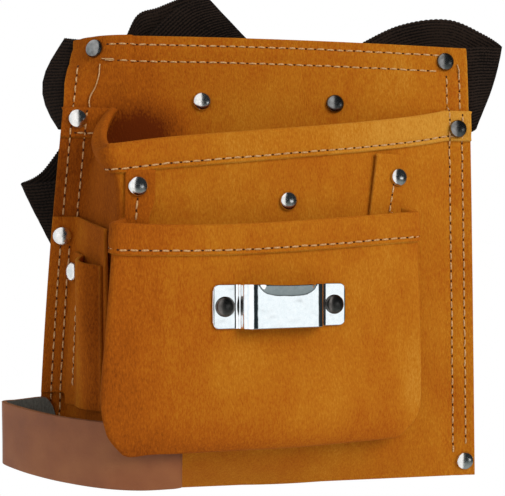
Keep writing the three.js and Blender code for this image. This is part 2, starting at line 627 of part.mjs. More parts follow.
// A closed ribbon: stations run round the loop, each a line of points across the width
function ribbon(stations, thick) {
  const count = stations.length;
  const width = stations[0].length;
  const position = [];
  const next = (k, d) => stations[(k + d + count) % count];
  for (const side of [1, -1]) {
    for (let k = 0; k < count; k += 1) {
      for (let i = 0; i < width; i += 1) {
        const along = next(k, 1)[i].clone().sub(next(k, -1)[i]);
        const up = stations[k][Math.min(i + 1, width - 1)].clone();
        up.sub(stations[k][Math.max(i - 1, 0)]);
        const p = along.cross(up).normalize().multiplyScalar((side * thick) / 2);
        p.add(stations[k][i]);
        position.push(p.x, p.y, p.z);
      }
    }
  }
  const index = [];
  const id = (side, k, i) => (side * count + (k % count)) * width + i;
  const quad = (a, b, c, d) => index.push(a, b, c, a, c, d);
  for (let k = 0; k < count; k += 1) {
    for (let i = 0; i < width - 1; i += 1) {
      quad(id(0, k, i), id(0, k + 1, i), id(0, k + 1, i + 1), id(0, k, i + 1));
      quad(id(1, k, i), id(1, k, i + 1), id(1, k + 1, i + 1), id(1, k + 1, i));
    }
    const e = width - 1;
    quad(id(1, k, 0), id(1, k + 1, 0), id(0, k + 1, 0), id(0, k, 0));
    quad(id(0, k, e), id(0, k + 1, e), id(1, k + 1, e), id(1, k, e));
  }
  const geometry = new THREE.BufferGeometry();
  geometry.setAttribute('position', new THREE.Float32BufferAttribute(position, 3));
  geometry.setIndex(index);
  return solidOf(geometry);
}

// Tape clip: pressed sheet steel, two plates with a raised bridge between them. It is made
// lying flat: x along it, y out from the leather, z up, then turned to the pocket's face.

const CLIP_LENGTH = 2 * (CLIP_PLATE + CLIP_RUN) + CLIP_BRIDGE;
const FACE_SLOPE = Math.atan2(
  frontFaceY(X_FRONT + FRONT_WIDTH) - frontFaceY(X_FRONT),
  FRONT_WIDTH,
);
const FACE_OUT = V(Math.sin(FACE_SLOPE), -Math.cos(FACE_SLOPE), 0);
const FACE_ALONG = V(Math.cos(FACE_SLOPE), Math.sin(FACE_SLOPE), 0);
const Z_CLIP = Z_TOP - CLIP_DROP;
// where the pocket's belly reaches behind the clip, it pushes the clip's seat forward
const underClip = frontGrid.flat().filter((p) => {
  const fromLeft = (p.x - X_FRONT) / Math.cos(FACE_SLOPE) - CLIP_FROM_LEFT + CLIP_PLATE / 2;
  return Math.abs(p.z - Z_CLIP) < CLIP_HEIGHT && fromLeft > 0 && fromLeft < CLIP_LENGTH;
});
const CLIP_SEAT = Math.max(...underClip.map((p) => (frontFaceY(p.x) - p.y) * Math.cos(FACE_SLOPE)));
// a point on the front pocket's outer face, so far from its left edge
function onFace(fromLeft, z, out = 0) {
  const x = X_FRONT + fromLeft * Math.cos(FACE_SLOPE);
  const seat = LEATHER / 2 + Math.max(0, CLIP_SEAT) + out;
  return V(x, frontFaceY(x), z).addScaledVector(FACE_OUT, seat);
}

function clipSolid() {
  const low = CLEAR;
  const high = CLEAR + CLIP_RISE;
  const t = CLIP_THICK;
  const half = CLIP_LENGTH / 2;
  const foot = half - CLIP_PLATE;
  const top = foot - CLIP_RUN;
  const slopeShift = t * 0.45;
  const outline = new THREE.Shape();
  outline.moveTo(-half, low);
  outline.lineTo(-foot + slopeShift, low);
  outline.lineTo(-top + slopeShift, high);
  outline.lineTo(top - slopeShift, high);
  outline.lineTo(foot - slopeShift, low);
  outline.lineTo(half, low);
  outline.lineTo(half, low + t);
  outline.lineTo(foot, low + t);
  outline.lineTo(top, high + t);
  outline.lineTo(-top, high + t);
  outline.lineTo(-foot, low + t);
  outline.lineTo(-half, low + t);
  const bent = new THREE.ExtrudeGeometry(outline, { depth: CLIP_HEIGHT, bevelEnabled: false });
  bent.translate(0, 0, -CLIP_HEIGHT / 2);
  // plate corners are rounded in front view
  const plan = new THREE.Shape();
  const h = CLIP_HEIGHT / 2;
  const c = CLIP_CORNER;
  plan.moveTo(-half + c, -h);
  plan.lineTo(half - c, -h);
  plan.absarc(half - c, -h + c, c, -Math.PI / 2, 0);
  plan.lineTo(half, h - c);
  plan.absarc(half - c, h - c, c, 0, Math.PI / 2);
  // the bridge's top edge is scooped out so that a tape's clip slides in
  plan.lineTo(top - 4, h);
  plan.quadraticCurveTo(0, h - CLIP_HEIGHT * 0.24, -top + 4, h);
  plan.lineTo(-half + c, h);
  plan.absarc(-half + c, h - c, c, Math.PI / 2, Math.PI);
  plan.lineTo(-half, -h + c);
  plan.absarc(-half + c, -h + c, c, Math.PI, Math.PI * 1.5);
  const reach = 4 * CLIP_RISE;
  const cut = new THREE.ExtrudeGeometry(plan, { depth: reach, bevelEnabled: false, curveSegments: 5 });
  cut.rotateX(Math.PI / 2).translate(0, reach / 2, 0);
  const flat = geometryOf(solidOf(bent).intersect(solidOf(cut)));
  const turn = new THREE.Matrix4().makeBasis(FACE_ALONG, FACE_OUT, V(0, 0, 1));
  const middle = onFace(CLIP_FROM_LEFT + CLIP_LENGTH / 2 - CLIP_PLATE / 2, Z_CLIP);
  // y points out of the leather, so the basis is left-handed and the faces are turned over
  flat.applyMatrix4(turn.setPosition(middle));
  return solidOf(turn.determinant() < 0 ? flipped(flat) : flat);
}

function flipped(geometry) {
  const array = geometry.index.array.slice();
  for (let k = 0; k < array.length; k += 3) [array[k], array[k + 1]] = [array[k + 1], array[k]];
  geometry.setIndex(new THREE.BufferAttribute(array, 1));
  return geometry;
}

// Rivets, each set from the edge that it follows. drop: below the panel's top edge.
// face: what its cap sits on. through: the pieces that it holds together.

const FORWARD = V(0, -1, 0);
const Y_PANEL_FACE = Y_PANEL - LEATHER / 2;
const Y_POCKET_FACE = Y_POCKET - LEATHER / 2;
const Y_HEM_FACE = Y_POCKET_FACE - LEATHER;
const Y_SIDE_FACE = Y_SIDE - LEATHER / 2;
const Y_PANEL_BACK = Y_PANEL + LEATHER / 2;

function flatRivet(name, x, drop, face, back, through) {
  return { name, seat: V(x, face, Z_TOP - drop), normal: FORWARD, grip: back - face, through };
}

const SEWN = ['back_panel', 'waist_belt'];
const PANEL_GRIP = -Y_PANEL_FACE + 5 * CLEAR + CURL_SLACK;
function panelRivet(name, x, drop) {
  return flatRivet(name, x, drop, Y_PANEL_FACE, 0, SEWN);
}

function gridRivet(name, grid, x, z, grip, through) {
  const { point, normal } = faceAt(grid, x, z);
  // the leather bends under the flat of the cap, so the cap stands a little clear of it
  const seat = point.clone().addScaledVector(normal, LEATHER / 2 + CLEAR);
  return { name, seat, normal, grip: grip + CLEAR, through };
}

// through the sleeve's flange, at right angles to the gusset
function sleeveRivet(name, drop) {
  const z = Z_SIDE - drop;
  const { start, end, slant } = sidePath(z, drop / SIDE_POCKET_HEIGHT);
  const normal = V(-Math.cos(slant), -Math.sin(slant), 0);
  const seat = start.clone().lerp(end, SLEEVE_FROM + 0.07);
  seat.addScaledVector(normal, LAYER + LEATHER / 2 + 4 * CLEAR);
  return { name, seat, normal, grip: TWO_LAYERS + 4 * CLEAR, through: ['tool_sleeve', 'side_pocket'] };
}

const zDown = (drop) => Z_TOP - drop;
const leftIn = (drop, inset) => leftEdge(zDown(drop)) + inset;
const rightIn = (drop, inset) => rightEdge(zDown(drop)) - inset;
const SEAM = ['back_panel', 'large_pocket'];
// the rivets at the ends of seams: how far in from the edge and below the panel's top
const EDGE_IN = 6;
const FLANGE_IN = POCKET_FLANGE / 2;
const FLANGE_DROP = POCKET_TOP_DROP + 8.7;
const SIDE_RIVET_DROP = SIDE_POCKET_DROP + 10.5;
const BOTTOM_RIVET_DROP = PANEL_HEIGHT - 9;
const TWO_LAYERS = 2 * LEATHER + CLEAR;
const stripLeftX = X_FRONT + STRIP_SET_IN + STRIP_WIDTH * 0.42;
const stripRightX = X_FRONT + FRONT_WIDTH - FRONT_DEPTH_RIGHT - STRIP_WIDTH * 0.4;
const clipRivet = (name, along) => ({
  name,
  seat: onFace(CLIP_FROM_LEFT + along, Z_CLIP, CLEAR + CLIP_THICK),
  normal: FACE_OUT,
  grip: LEATHER + CLEAR + CLIP_THICK + Math.max(0, CLIP_SEAT),
  through: ['tape_clip', 'front_pocket'],
});

const rivets = [
  { ...gridRivet('rivet_top_left', panelGrid, leftIn(6.7, 13.5), Z_TOP - 6.7, PANEL_GRIP, SEWN) },
  panelRivet('rivet_top_right', rightIn(8.2, 13.5), 8.2),
  panelRivet('rivet_belt_left', -PANEL_TOP_WIDTH * 0.183, 35.4),
  panelRivet('rivet_belt_right', PANEL_TOP_WIDTH * 0.154, 34.7),
  flatRivet('rivet_flange_left', leftIn(FLANGE_DROP, FLANGE_IN), FLANGE_DROP, Y_HEM_FACE, 1.2,
    [...SEAM, 'waist_belt']),
  flatRivet('rivet_flange_right', rightIn(FLANGE_DROP + 1.1, FLANGE_IN), FLANGE_DROP + 1.1,
    Y_HEM_FACE, 0, [...SEAM, 'waist_belt']),
  flatRivet('rivet_side_pocket', leftIn(SIDE_RIVET_DROP, EDGE_IN), SIDE_RIVET_DROP, Y_SIDE_FACE,
    Y_PANEL_BACK, [...SEAM, 'side_pocket']),
  flatRivet('rivet_bottom_right', rightIn(BOTTOM_RIVET_DROP, EDGE_IN), BOTTOM_RIVET_DROP,
    Y_POCKET_FACE - 2 * CLEAR, Y_PANEL_BACK, SEAM),
  gridRivet('rivet_strip_left', frontGrid, stripLeftX, Z_FRONT + STRIP_RISE_LEFT * 0.76, TWO_LAYERS,
    ['front_pocket', 'large_pocket']),
  gridRivet('rivet_strip_right', frontGrid, stripRightX,
    Z_FRONT + FRONT_TOP_RISE + STRIP_RISE_RIGHT * 0.88, TWO_LAYERS, ['front_pocket', 'large_pocket']),
  gridRivet('rivet_front_middle', pocketGrid, 2, Z_POCKET - 54.5, LEATHER, ['large_pocket']),
  sleeveRivet('rivet_sleeve', SLEEVE_DROP + 11),
  clipRivet('clip_rivet_left', 0),
  clipRivet('clip_rivet_right', CLIP_LENGTH - CLIP_PLATE),
];

// Belt buckle: hidden behind the panel, one closed plastic body that the webbing runs through

const beltLine = beltStations();
const BUCKLE_ROW = 6; // the row of BELT_RUN that it sits on
function buckleSolid() {
  const at = SEWN_SHARES.length - 1 + (BUCKLE_ROW + 1) * BELT_SUBSTEPS + 1;
  const row = beltLine[at];
  const middle = row[1];
  const up = row[2].clone().sub(row[0]).normalize();
  const along = beltLine[at + 2][1].clone().sub(beltLine[at - 2][1]);
  along.addScaledVector(up, -along.dot(up)).normalize();
  const out = up.clone().cross(along);
  const turn = new THREE.Matrix4().makeBasis(along, out, up).setPosition(middle);
  const tall = BELT_WIDTH + 2 * BUCKLE_RIM;
  const slot = BELT_THICK + 2.4;
  const body = new THREE.BoxGeometry(BUCKLE_LENGTH, BUCKLE_THICK, tall);
  const hole = new THREE.BoxGeometry(BUCKLE_LENGTH * 2, slot, BELT_WIDTH + 3 * CLEAR);
  return solidOf(body.applyMatrix4(turn)).subtract(solidOf(hole.applyMatrix4(turn)));
}

// The scene graph

const SUEDE = { color: '#b9721f', roughness: 0.95, metalness: 0 };
const HARNESS_LEATHER = { color: '#a06a4a', roughness: 0.6, metalness: 0 };
const WEBBING = { color: '#2a211d', roughness: 0.9, metalness: 0 };
const NICKEL = { color: '#b9bcc0', roughness: 0.25, metalness: 1 };
const CHROME = { color: '#d9dcdf', roughness: 0.12, metalness: 1 };
const DARK_NICKEL = { color: '#6f6d6c', roughness: 0.35, metalness: 1 };
const PLASTIC = { color: '#1c1b1b', roughness: 0.5, metalness: 0 };

const pieces = [
  ['back_panel', sheet(panelGrid), SUEDE],
  ['large_pocket', sheet(pocketGrid, LEATHER, pocketHem), SUEDE],
  ['front_pocket', sheet(frontGrid, LEATHER, frontHem), SUEDE],
  ['side_pocket', sheet(sideGrid), SUEDE],
  ['tool_sleeve', sheet(sleeveGrid), SUEDE],
  ['hammer_loop', sheet(loopGrid, LOOP_STRAP_THICK), HARNESS_LEATHER],
  ['waist_belt', ribbon(beltLine, BELT_THICK), WEBBING],
  ['tape_clip', clipSolid(), CHROME],
  ['belt_buckle', buckleSolid(), PLASTIC],
];

const apron = new THREE.Group();
function add(name, geometry, look) {
  const mesh = new THREE.Mesh(geometry, new THREE.MeshStandardMaterial(look));
  mesh.name = name;
  apron.add(mesh);
}
for (const [name, solid, look] of pieces) {
  const holes = rivets.filter((rivet) => rivet.through.includes(name));
  add(name, geometryOf(drilled(solid, holes)), look);
}
for (const rivet of rivets) {
  const look = rivet.name.startsWith('clip') ? DARK_NICKEL : NICKEL;
  add(rivet.name, geometryOf(solidOf(rivetGeometry(rivet))), look);
}

export default apron;
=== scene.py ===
import math

import bpy
import numpy as np
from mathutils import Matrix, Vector
from mathutils.bvhtree import BVHTree


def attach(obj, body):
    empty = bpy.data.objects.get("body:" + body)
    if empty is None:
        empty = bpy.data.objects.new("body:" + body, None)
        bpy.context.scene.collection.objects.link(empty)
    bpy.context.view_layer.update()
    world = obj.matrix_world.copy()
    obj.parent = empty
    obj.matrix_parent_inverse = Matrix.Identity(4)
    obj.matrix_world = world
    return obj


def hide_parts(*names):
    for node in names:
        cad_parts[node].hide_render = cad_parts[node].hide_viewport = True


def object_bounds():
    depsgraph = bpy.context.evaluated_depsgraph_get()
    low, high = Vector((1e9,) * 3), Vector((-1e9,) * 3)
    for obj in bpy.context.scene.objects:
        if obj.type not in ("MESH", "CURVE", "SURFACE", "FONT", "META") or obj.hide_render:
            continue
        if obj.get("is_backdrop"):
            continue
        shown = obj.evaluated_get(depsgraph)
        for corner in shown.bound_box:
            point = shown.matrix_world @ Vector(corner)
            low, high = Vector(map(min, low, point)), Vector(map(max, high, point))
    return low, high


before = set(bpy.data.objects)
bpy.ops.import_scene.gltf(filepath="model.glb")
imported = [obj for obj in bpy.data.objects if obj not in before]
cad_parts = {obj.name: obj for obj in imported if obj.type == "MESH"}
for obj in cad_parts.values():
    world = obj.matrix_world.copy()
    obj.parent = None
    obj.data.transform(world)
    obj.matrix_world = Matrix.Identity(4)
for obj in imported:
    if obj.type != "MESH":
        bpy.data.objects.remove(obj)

cad_box = [list(corner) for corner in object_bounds()]

# Studio: a pale floor well below the hanging pouch and a white surround. The key light stands at
# the front right, with a weak strip at the front left and a third light behind. The metal mirrors
# a white wall at the left, a grey floor, an unlit room in front and a soft box at the right.


def linear(code, alpha=1.0):
    """An sRGB hex colour as the linear colour that a shader takes"""
    parts = [int(code[k:k + 2], 16) / 255 for k in (1, 3, 5)]
    return [p / 12.92 if p <= 0.04045 else ((p + 0.055) / 1.055) ** 2.4 for p in parts] + [alpha]


def feed(tree, made, feeds):
    """Gives each named input of a node a value, or the output that feeds it"""
    for name, value in feeds.items():
        if isinstance(value, bpy.types.NodeSocket):
            tree.links.new(value, made.inputs[name])
        else:
            made.inputs[name].default_value = value


def node(tree, kind, feeds=None, stops=None, **settings):
    """Adds one node with its feeds, its other settings and the colour stops of a ramp"""
    made = tree.nodes.new(kind)
    for name, value in settings.items():
        setattr(made, name, value)
    feed(tree, made, feeds or {})
    for place, (at, code) in enumerate(stops or []):
        ramp = made.color_ramp.elements
        stop = ramp[place] if place < 2 else ramp.new(at)
        stop.position, stop.color = at, linear(code)
    return made


def material(name):
    """A new material's node tree, its shader and its object coordinates"""
    made = bpy.data.materials.new(name)
    made.use_nodes = True
    tree = made.node_tree
    place = node(tree, "ShaderNodeTexCoord").outputs["Object"]
    return made, tree, tree.nodes["Principled BSDF"], place


def noise(tree, place, scale, detail=2.0, **more):
    """The value of a noise texture"""
    feeds = {"Vector": place, "Scale": scale, "Detail": detail, **more}
    return node(tree, "ShaderNodeTexNoise", feeds).outputs["Fac"]


def colour(tree, value, *stops):
    """The colour of a value on a ramp"""
    return node(tree, "ShaderNodeValToRGB", {"Fac": value}, stops=stops).outputs["Color"]


def blend(tree, value, times, more):
    """A value times a number, with another value added"""
    return node(tree, "ShaderNodeMath", {0: value, 1: times, 2: more}, operation="MULTIPLY_ADD").outputs[0]


def bumped(tree, height, strength, distance):
    """The facing that a relief gives, its distance in metres"""
    feeds = {"Height": height, "Strength": strength, "Distance": distance}
    return node(tree, "ShaderNodeBump", feeds).outputs["Normal"]


def grained(name, scale, dark, pale, roughness, relief=None):
    """A plain finish with one fine grain in its colour and, where it has one, in its relief"""
    made, tree, shader, place = material(name)
    grain = noise(tree, place, scale)
    feed(tree, shader, {"Base Color": colour(tree, grain, (0.3, dark), (0.7, pale)),
                        "Roughness": roughness})
    if relief:
        feed(tree, shader, {"Normal": bumped(tree, grain, *relief)})
    return made


scene = bpy.context.scene
scene.view_settings.view_transform = "Standard"
lens = bpy.data.cameras.new("camera")
lens.sensor_width = 36.0
lens.lens = 69.9
camera = bpy.data.objects.new("camera", lens)
camera.location = (-0.1006, -0.5570, -0.1000)
camera.rotation_euler = (math.radians(90.58), 0, math.radians(-9.0))
scene.collection.objects.link(camera)
scene.camera = camera

world = bpy.data.worlds.new("studio")
world.use_nodes = True
surround = world.node_tree
surround.nodes.clear()
ray = node(surround, "ShaderNodeLightPath")
way = node(surround, "ShaderNodeTexCoord").outputs["Generated"]
way = node(surround, "ShaderNodeSeparateXYZ", {"Vector": way})
# from 0 at the far left or straight down to 1 at the far right or straight up
side = node(surround, "ShaderNodeMapRange", {"Value": way.outputs["X"], "From Min": -1.0}).outputs[0]
high = node(surround, "ShaderNodeMapRange", {"Value": way.outputs["Z"], "From Min": -1.0}).outputs[0]
wall = colour(surround, side, (0.0, "#dfe6ea"), (1.0, "#23282b"), (0.20, "#ffffff"), (0.495, "#ffffff"),
              (0.53, "#1e2326"))
ground = colour(surround, high, (0.0, "#8b9393"), (0.46, "#000000"), (0.30, "#7a8282"), (0.40, "#3c4242"))
box = colour(surround, side, (0.79, "#000000"), (0.93, "#000000"), (0.815, "#f1f6f8"), (0.905, "#f1f6f8"))
tall = colour(surround, high, (0.435, "#000000"), (0.53, "#000000"), (0.45, "#ffffff"), (0.515, "#ffffff"))
box = node(surround, "ShaderNodeVectorMath", {0: box, 1: tall}, operation="MULTIPLY")
walls = node(surround, "ShaderNodeVectorMath", {0: wall, 1: ground}, operation="MAXIMUM")
walls = node(surround, "ShaderNodeVectorMath", {0: walls.outputs[0], 1: box.outputs[0]},
             operation="MAXIMUM")
mirrored = node(surround, "ShaderNodeBackground", {"Color": walls.outputs[0], "Strength": 1.22})
pale = node(surround, "ShaderNodeBackground", {"Color": linear("#ffffff"), "Strength": 1.0})
dim = node(surround, "ShaderNodeBackground", {"Color": linear("#f6f5f2"), "Strength": 0.46})
lit = node(surround, "ShaderNodeMixShader", {0: ray.outputs["Is Glossy Ray"], 1: dim.outputs[0],
                                             2: mirrored.outputs[0]})
both = node(surround, "ShaderNodeMixShader", {0: ray.outputs["Is Camera Ray"], 1: lit.outputs[0],
                                              2: pale.outputs[0]})
node(surround, "ShaderNodeOutputWorld", {"Surface": both.outputs[0]})
scene.world = world

for name, spot, size, power in (
    ("key", (0.85, -1.0, 0.55), (0.8, 0.8), 12.5),
    ("strip", (-1.15, -0.85, 0.1), (0.35, 1.3), 2.4),
    ("back", (0.3, 1.2, 0.7), (0.9, 0.9), 5.0),
):
    lamp = bpy.data.lights.new(name, "AREA")
    lamp.shape, lamp.size, lamp.size_y, lamp.energy = "RECTANGLE", *size, power
    light = bpy.data.objects.new(name, lamp)
    light.location = spot
    light.rotation_euler = (Vector(spot) - Vector((0, 0, -0.1))).to_track_quat("Z", "Y").to_euler()
    light.visible_glossy = False
    scene.collection.objects.link(light)

FLOOR_DROP, FLOOR_RADIUS, FLOOR_SIDES = 0.45, 0.85, 96  # metres, below the belt
paint = grained("floor_matt_paint", 3.0, "#eeedea", "#f4f3f1", 0.8)
ring = [(FLOOR_RADIUS * math.cos(a), FLOOR_RADIUS * math.sin(a), -FLOOR_DROP)
        for a in np.linspace(0, 2 * math.pi, FLOOR_SIDES, endpoint=False)]
flat = bpy.data.meshes.new("floor")
flat.from_pydata([(0, 0, -FLOOR_DROP)] + ring, [],
                 [(0, k + 1, (k + 1) % FLOOR_SIDES + 1) for k in range(FLOOR_SIDES)])
flat.materials.append(paint)
floor = bpy.data.objects.new("floor", flat)
floor.visible_glossy = False
scene.collection.objects.link(floor)
floor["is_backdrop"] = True

# Back panel: one flat piece of cowhide split, brushed to suede on both sides and dyed
# orange-tan. Its top edge is sewn and riveted to the webbing, and its top left corner
# bends back round the hip.

LEATHER = 2.0  # millimetres, as all sizes here are
CLEAR = 0.3
BELT_WIDTH = 50.0
BELT_THICK = 1.6
PANEL_HEIGHT = 252.0
PANEL_TOP_WIDTH = 230.0
LEFT_FLARE, LEFT_BOW, RIGHT_FLARE = 18.0, 2.4, 4.0  # of the side edges, outward
TOP_CROWN, BOTTOM_WAVE = 1.5, 1.2
Z_TOP = 24.0
Z_BOTTOM = Z_TOP - PANEL_HEIGHT
Y_BELT = -BELT_THICK / 2
Y_PANEL = -BELT_THICK - CLEAR - LEATHER / 2
LAYER = LEATHER + CLEAR
Y_POCKET = Y_PANEL - LAYER
Y_SIDE = Y_POCKET - LAYER
CURL_LENGTH, CURL_HEIGHT, CURL_ANGLE, CURL_SLACK = 33.0, 44.0, 58.0, 2.4
CORNER_RISE, CORNER_REACH = 8.0, 45.0  # the lower left corner is cut short
SEAM_OUTER, SEAM_INNER = 5.2, 13.0  # both rows of stitches at a side, from its edge
TOP_OUTER, TOP_INNER = 4.8, 14.2  # and along the top


def ease(t):
    """A smooth step from 0 to 1"""
    t = np.clip(t, 0, 1)
    return t * t * (3 - 2 * t)


def unit(v):
    return v / np.maximum(np.linalg.norm(v, axis=-1, keepdims=True), 1e-9)


def xyz(x, y, z):
    return np.stack(np.broadcast_arrays(x, y, z), axis=-1).astype(float)


def left_edge(z):
    t = np.clip((Z_TOP - z) / PANEL_HEIGHT, 0, 1)
    return -PANEL_TOP_WIDTH / 2 - LEFT_FLARE * t - LEFT_BOW * np.sin(np.pi * t)


def right_edge(z):
    return PANEL_TOP_WIDTH / 2 + RIGHT_FLARE * np.sqrt(np.clip((Z_TOP - z) / PANEL_HEIGHT, 0, 1))


def curled(x, y, z):
    """Bends flat points at depth y back round the hip near the top left corner"""
    x, y, z = (np.asarray(v, float) for v in np.broadcast_arrays(x, y, z))
    start = -PANEL_TOP_WIDTH / 2 + CURL_LENGTH
    amount = ease((z - Z_TOP + CURL_HEIGHT) / CURL_HEIGHT)
    s = start - x
    radius = CURL_LENGTH / (math.radians(CURL_ANGLE) * np.maximum(amount, 1e-3))
    angle = s / radius
    back = y - Y_BELT - np.where(y < Y_BELT, CURL_SLACK * np.minimum(1, 3 * amount), 0)
    bent = xyz(start - radius * np.sin(angle) + back * np.sin(angle),
               Y_BELT + radius * (1 - np.cos(angle)) + back * np.cos(angle), z)
    return np.where(((s <= 0) | (amount < 1e-3))[..., None], xyz(x, y, z), bent)


def swell(points, size, seed):
    """A smooth random height of about -1 to 1 at each point, with lumps of the given size"""
    rng = np.random.default_rng(seed)
    total = 0
    for _ in range(8):
        way = unit(rng.normal(size=3))
        wave = 2 * np.pi / (size * rng.uniform(0.7, 1.6))
        total = total + np.sin(points @ way * wave + rng.uniform(0, 6.3))
    return total / 4


def spread(count, edge=0.0015):
    """Shares from 0 to 1 with one more close to each end, for a crisp rounded edge"""
    return np.concatenate([[0], np.linspace(edge, 1 - edge, count), [1]])


def normals(grid):
    """Which way a grid of points faces at each point, outward from the body"""
    down = np.gradient(grid, axis=0)
    across = np.gradient(grid, axis=1)
    return unit(np.cross(down, across))


def body_piece(name, points, faces, finishes, kinds=None):
    """A smooth mesh of points in millimetres, which rides on the part's one body"""
    mesh = bpy.data.meshes.new(name)
    mesh.from_pydata((np.asarray(points) / 1000).tolist(), [], faces)
    mesh.polygons.foreach_set("use_smooth", np.ones(len(faces), bool))
    if kinds is not None:
        mesh.polygons.foreach_set("material_index", np.asarray(kinds, np.int32))
    for finish in finishes:
        mesh.materials.append(finish)
    piece = bpy.data.objects.new(name, mesh)
    scene.collection.objects.link(piece)
    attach(piece, "root")
    return piece


RIM = (0.12, 0.35, 0.65, 0.88)  # rings round a cut edge, as shares of its thickness
trees, skins = {}, {}  # of each sheet: what rays meet, and its outer face with its facings


def sheet(name, grid, finishes, thick=LEATHER, extra=0.0, folded=0.0, tone=0.5, inner_tone=None,
          step_rows=(), edge_round=0.3, coords=None):
    """A sheet of material round a grid of middle points, rows from the top and columns from
    the left. extra is what stands on its outer face, folded the round of its top edge.
    finishes: outer face, cut edge, inner face. coords: distance along and across, in mm."""
    rows, cols = grid.shape[:2]
    facing = normals(grid)
    extra = np.broadcast_to(extra, (rows, cols))
    thick = np.broadcast_to(thick, (rows, cols))
    outer = grid + facing * (thick / 2 + extra)[..., None]
    inner = grid - facing * (thick / 2)[..., None]
    points = [outer.reshape(-1, 3), inner.reshape(-1, 3)]
    shade = np.broadcast_to(tone, (rows, cols))
    behind = shade if inner_tone is None else np.broadcast_to(inner_tone, (rows, cols))
    shades = [shade.ravel(), behind.ravel()]
    number = np.arange(rows * cols).reshape(rows, cols)
    faces, kinds = [], []

    def quads(a, b, c, d, kind):
        made = np.stack([a, b, c, d], axis=-1).reshape(-1, 4)
        faces.append(made)
        kinds.append(np.broadcast_to(kind, a.shape).reshape(-1))

    rim_kind = np.zeros((rows - 1, cols - 1), int)
    for row in step_rows:
        rim_kind[row] = 1
    quads(number[:-1, :-1], number[1:, :-1], number[1:, 1:], number[:-1, 1:], rim_kind)
    under = number + rows * cols
    quads(under[:-1, :-1], under[:-1, 1:], under[1:, 1:], under[1:, :-1], 2)
    loop = np.concatenate([number[0, :-1], number[:-1, -1], number[-1, :0:-1], number[:0:-1, 0]])
    away = np.zeros_like(grid)
    away[0] += unit(grid[0] - grid[2])
    away[-1] += unit(grid[-1] - grid[-3])
    away[:, 0] += unit(grid[:, 0] - grid[:, 2])
    away[:, -1] += unit(grid[:, -1] - grid[:, -3])
    away = unit(away).reshape(-1, 3)[loop]
    top = np.zeros((rows, cols), bool)
    top[0] = folded > 0
    on_top = top.ravel()[loop]
    bulge = np.where(on_top, folded, edge_round)[:, None]
    ring_before = loop
    start = 2 * rows * cols
    out_loop, in_loop = outer.reshape(-1, 3)[loop], inner.reshape(-1, 3)[loop]
    count = len(loop)
    for t in RIM:
        round_off = math.sin(math.pi * t) ** 0.5
        points.append(out_loop + (in_loop - out_loop) * t + away * bulge * round_off)
        shades.append(shade.ravel()[loop])
        ring = np.arange(start, start + count)
        kind = np.where(on_top & np.roll(on_top, -1), 0, 1)
        quads(ring_before, np.roll(ring_before, -1), np.roll(ring, -1), ring, kind)
        ring_before = ring
        start += count
    last = loop + rows * cols
    quads(ring_before, np.roll(ring_before, -1), np.roll(last, -1), last, kind)
    points = np.concatenate(points)
    faces = np.concatenate(faces).tolist()
    piece = body_piece(name, points, faces, finishes, np.concatenate(kinds))
    fields = {"tone": np.concatenate(shades)}
    if coords is not None:
        for key, value in zip(("run", "breadth"), coords):
            value = np.broadcast_to(value, (rows, cols)).ravel()
            fields[key] = np.concatenate([value, value] + [value[loop]] * len(RIM)) / 1000
    for key, value in fields.items():
        piece.data.attributes.new(key, "FLOAT", "POINT").data.foreach_set("value", value)
    trees[name] = BVHTree.FromPolygons((points / 1000).tolist(), faces)
    skins[name] = outer, facing
    return piece


def suede_finish(name, light, mid, warm, dark):
    """Brushed cowhide split: a cloudy dye, a short nap that lies in streaks, and no gloss.
    tone, 0 to 1, is where handling has rubbed it pale or the dye has stayed dark,
    and also where shade and highlights are painted on."""
    made, tree, shader, place = material(name)
    tall = node(tree, "ShaderNodeMapping", {"Vector": place, "Scale": (1.0, 1.0, 0.4)}).outputs[0]
    # clouds 45 mm across, blotches 9 mm, nap tufts 0.8 mm (real ones are half that)
    clouds = noise(tree, place, 22.0, 3.0)
    blotch = noise(tree, tall, 110.0, 4.0, Roughness=0.6)
    nap = noise(tree, tall, 1200.0, 3.0, Roughness=0.7)
    mixed = blend(tree, clouds, 0.28, 0.0)
    mixed = blend(tree, blotch, 0.20, mixed)
    mixed = blend(tree, nap, 0.66, mixed)
    tone = node(tree, "ShaderNodeAttribute", attribute_name="tone").outputs["Fac"]
    moved = blend(tree, tone, 1.0, mixed)
    moved = node(tree, "ShaderNodeMath", {0: moved, 1: 0.57}, operation="SUBTRACT").outputs[0]
    feed(tree, shader, {
        "Base Color": colour(tree, moved, (0.0, dark), (0.98, light), (0.36, warm), (0.56, mid)),
        "Normal": bumped(tree, blend(tree, blotch, 0.6, nap), 0.8, 0.0006),
        "Roughness": 0.95, "Specular IOR Level": 0.08,
        "Sheen Weight": 0.06, "Sheen Roughness": 0.6, "Sheen Tint": linear("#f09428")})
    return made


suede = suede_finish("suede_brushed_split", "#dca444", "#bc731a", "#ab5912", "#672909")
# a knife-cut edge shows the undyed middle of the hide, paler and more yellow
cut_edge = suede_finish("suede_cut_edge", "#deb05a", "#c28228", "#aa6216", "#7a3c0e")

down = spread(170)
across = spread(170)
z = Z_TOP + (Z_BOTTOM - Z_TOP) * down[:, None] + 0 * across[None]
left, right = left_edge(z), right_edge(z)
x = left + (right - left) * across[None]
crown = TOP_CROWN * np.sin(np.pi * across)[None] * (1 - down[:, None]) ** 6
wave = BOTTOM_WAVE * np.sin(9 * across)[None] * down[:, None] ** 8
wave = wave + CORNER_RISE * ease((-62 - x) / CORNER_REACH) * down[:, None] ** 6
flat_points = xyz(x, Y_PANEL, z)
hang = 0.45 * swell(flat_points * (1, 0, 1), 95, 3) * ease(down * 6)[:, None]
grid = curled(x, Y_PANEL + hang, z + crown + wave)
edge_in = np.minimum(np.minimum(x - left, right - x), z - Z_BOTTOM)
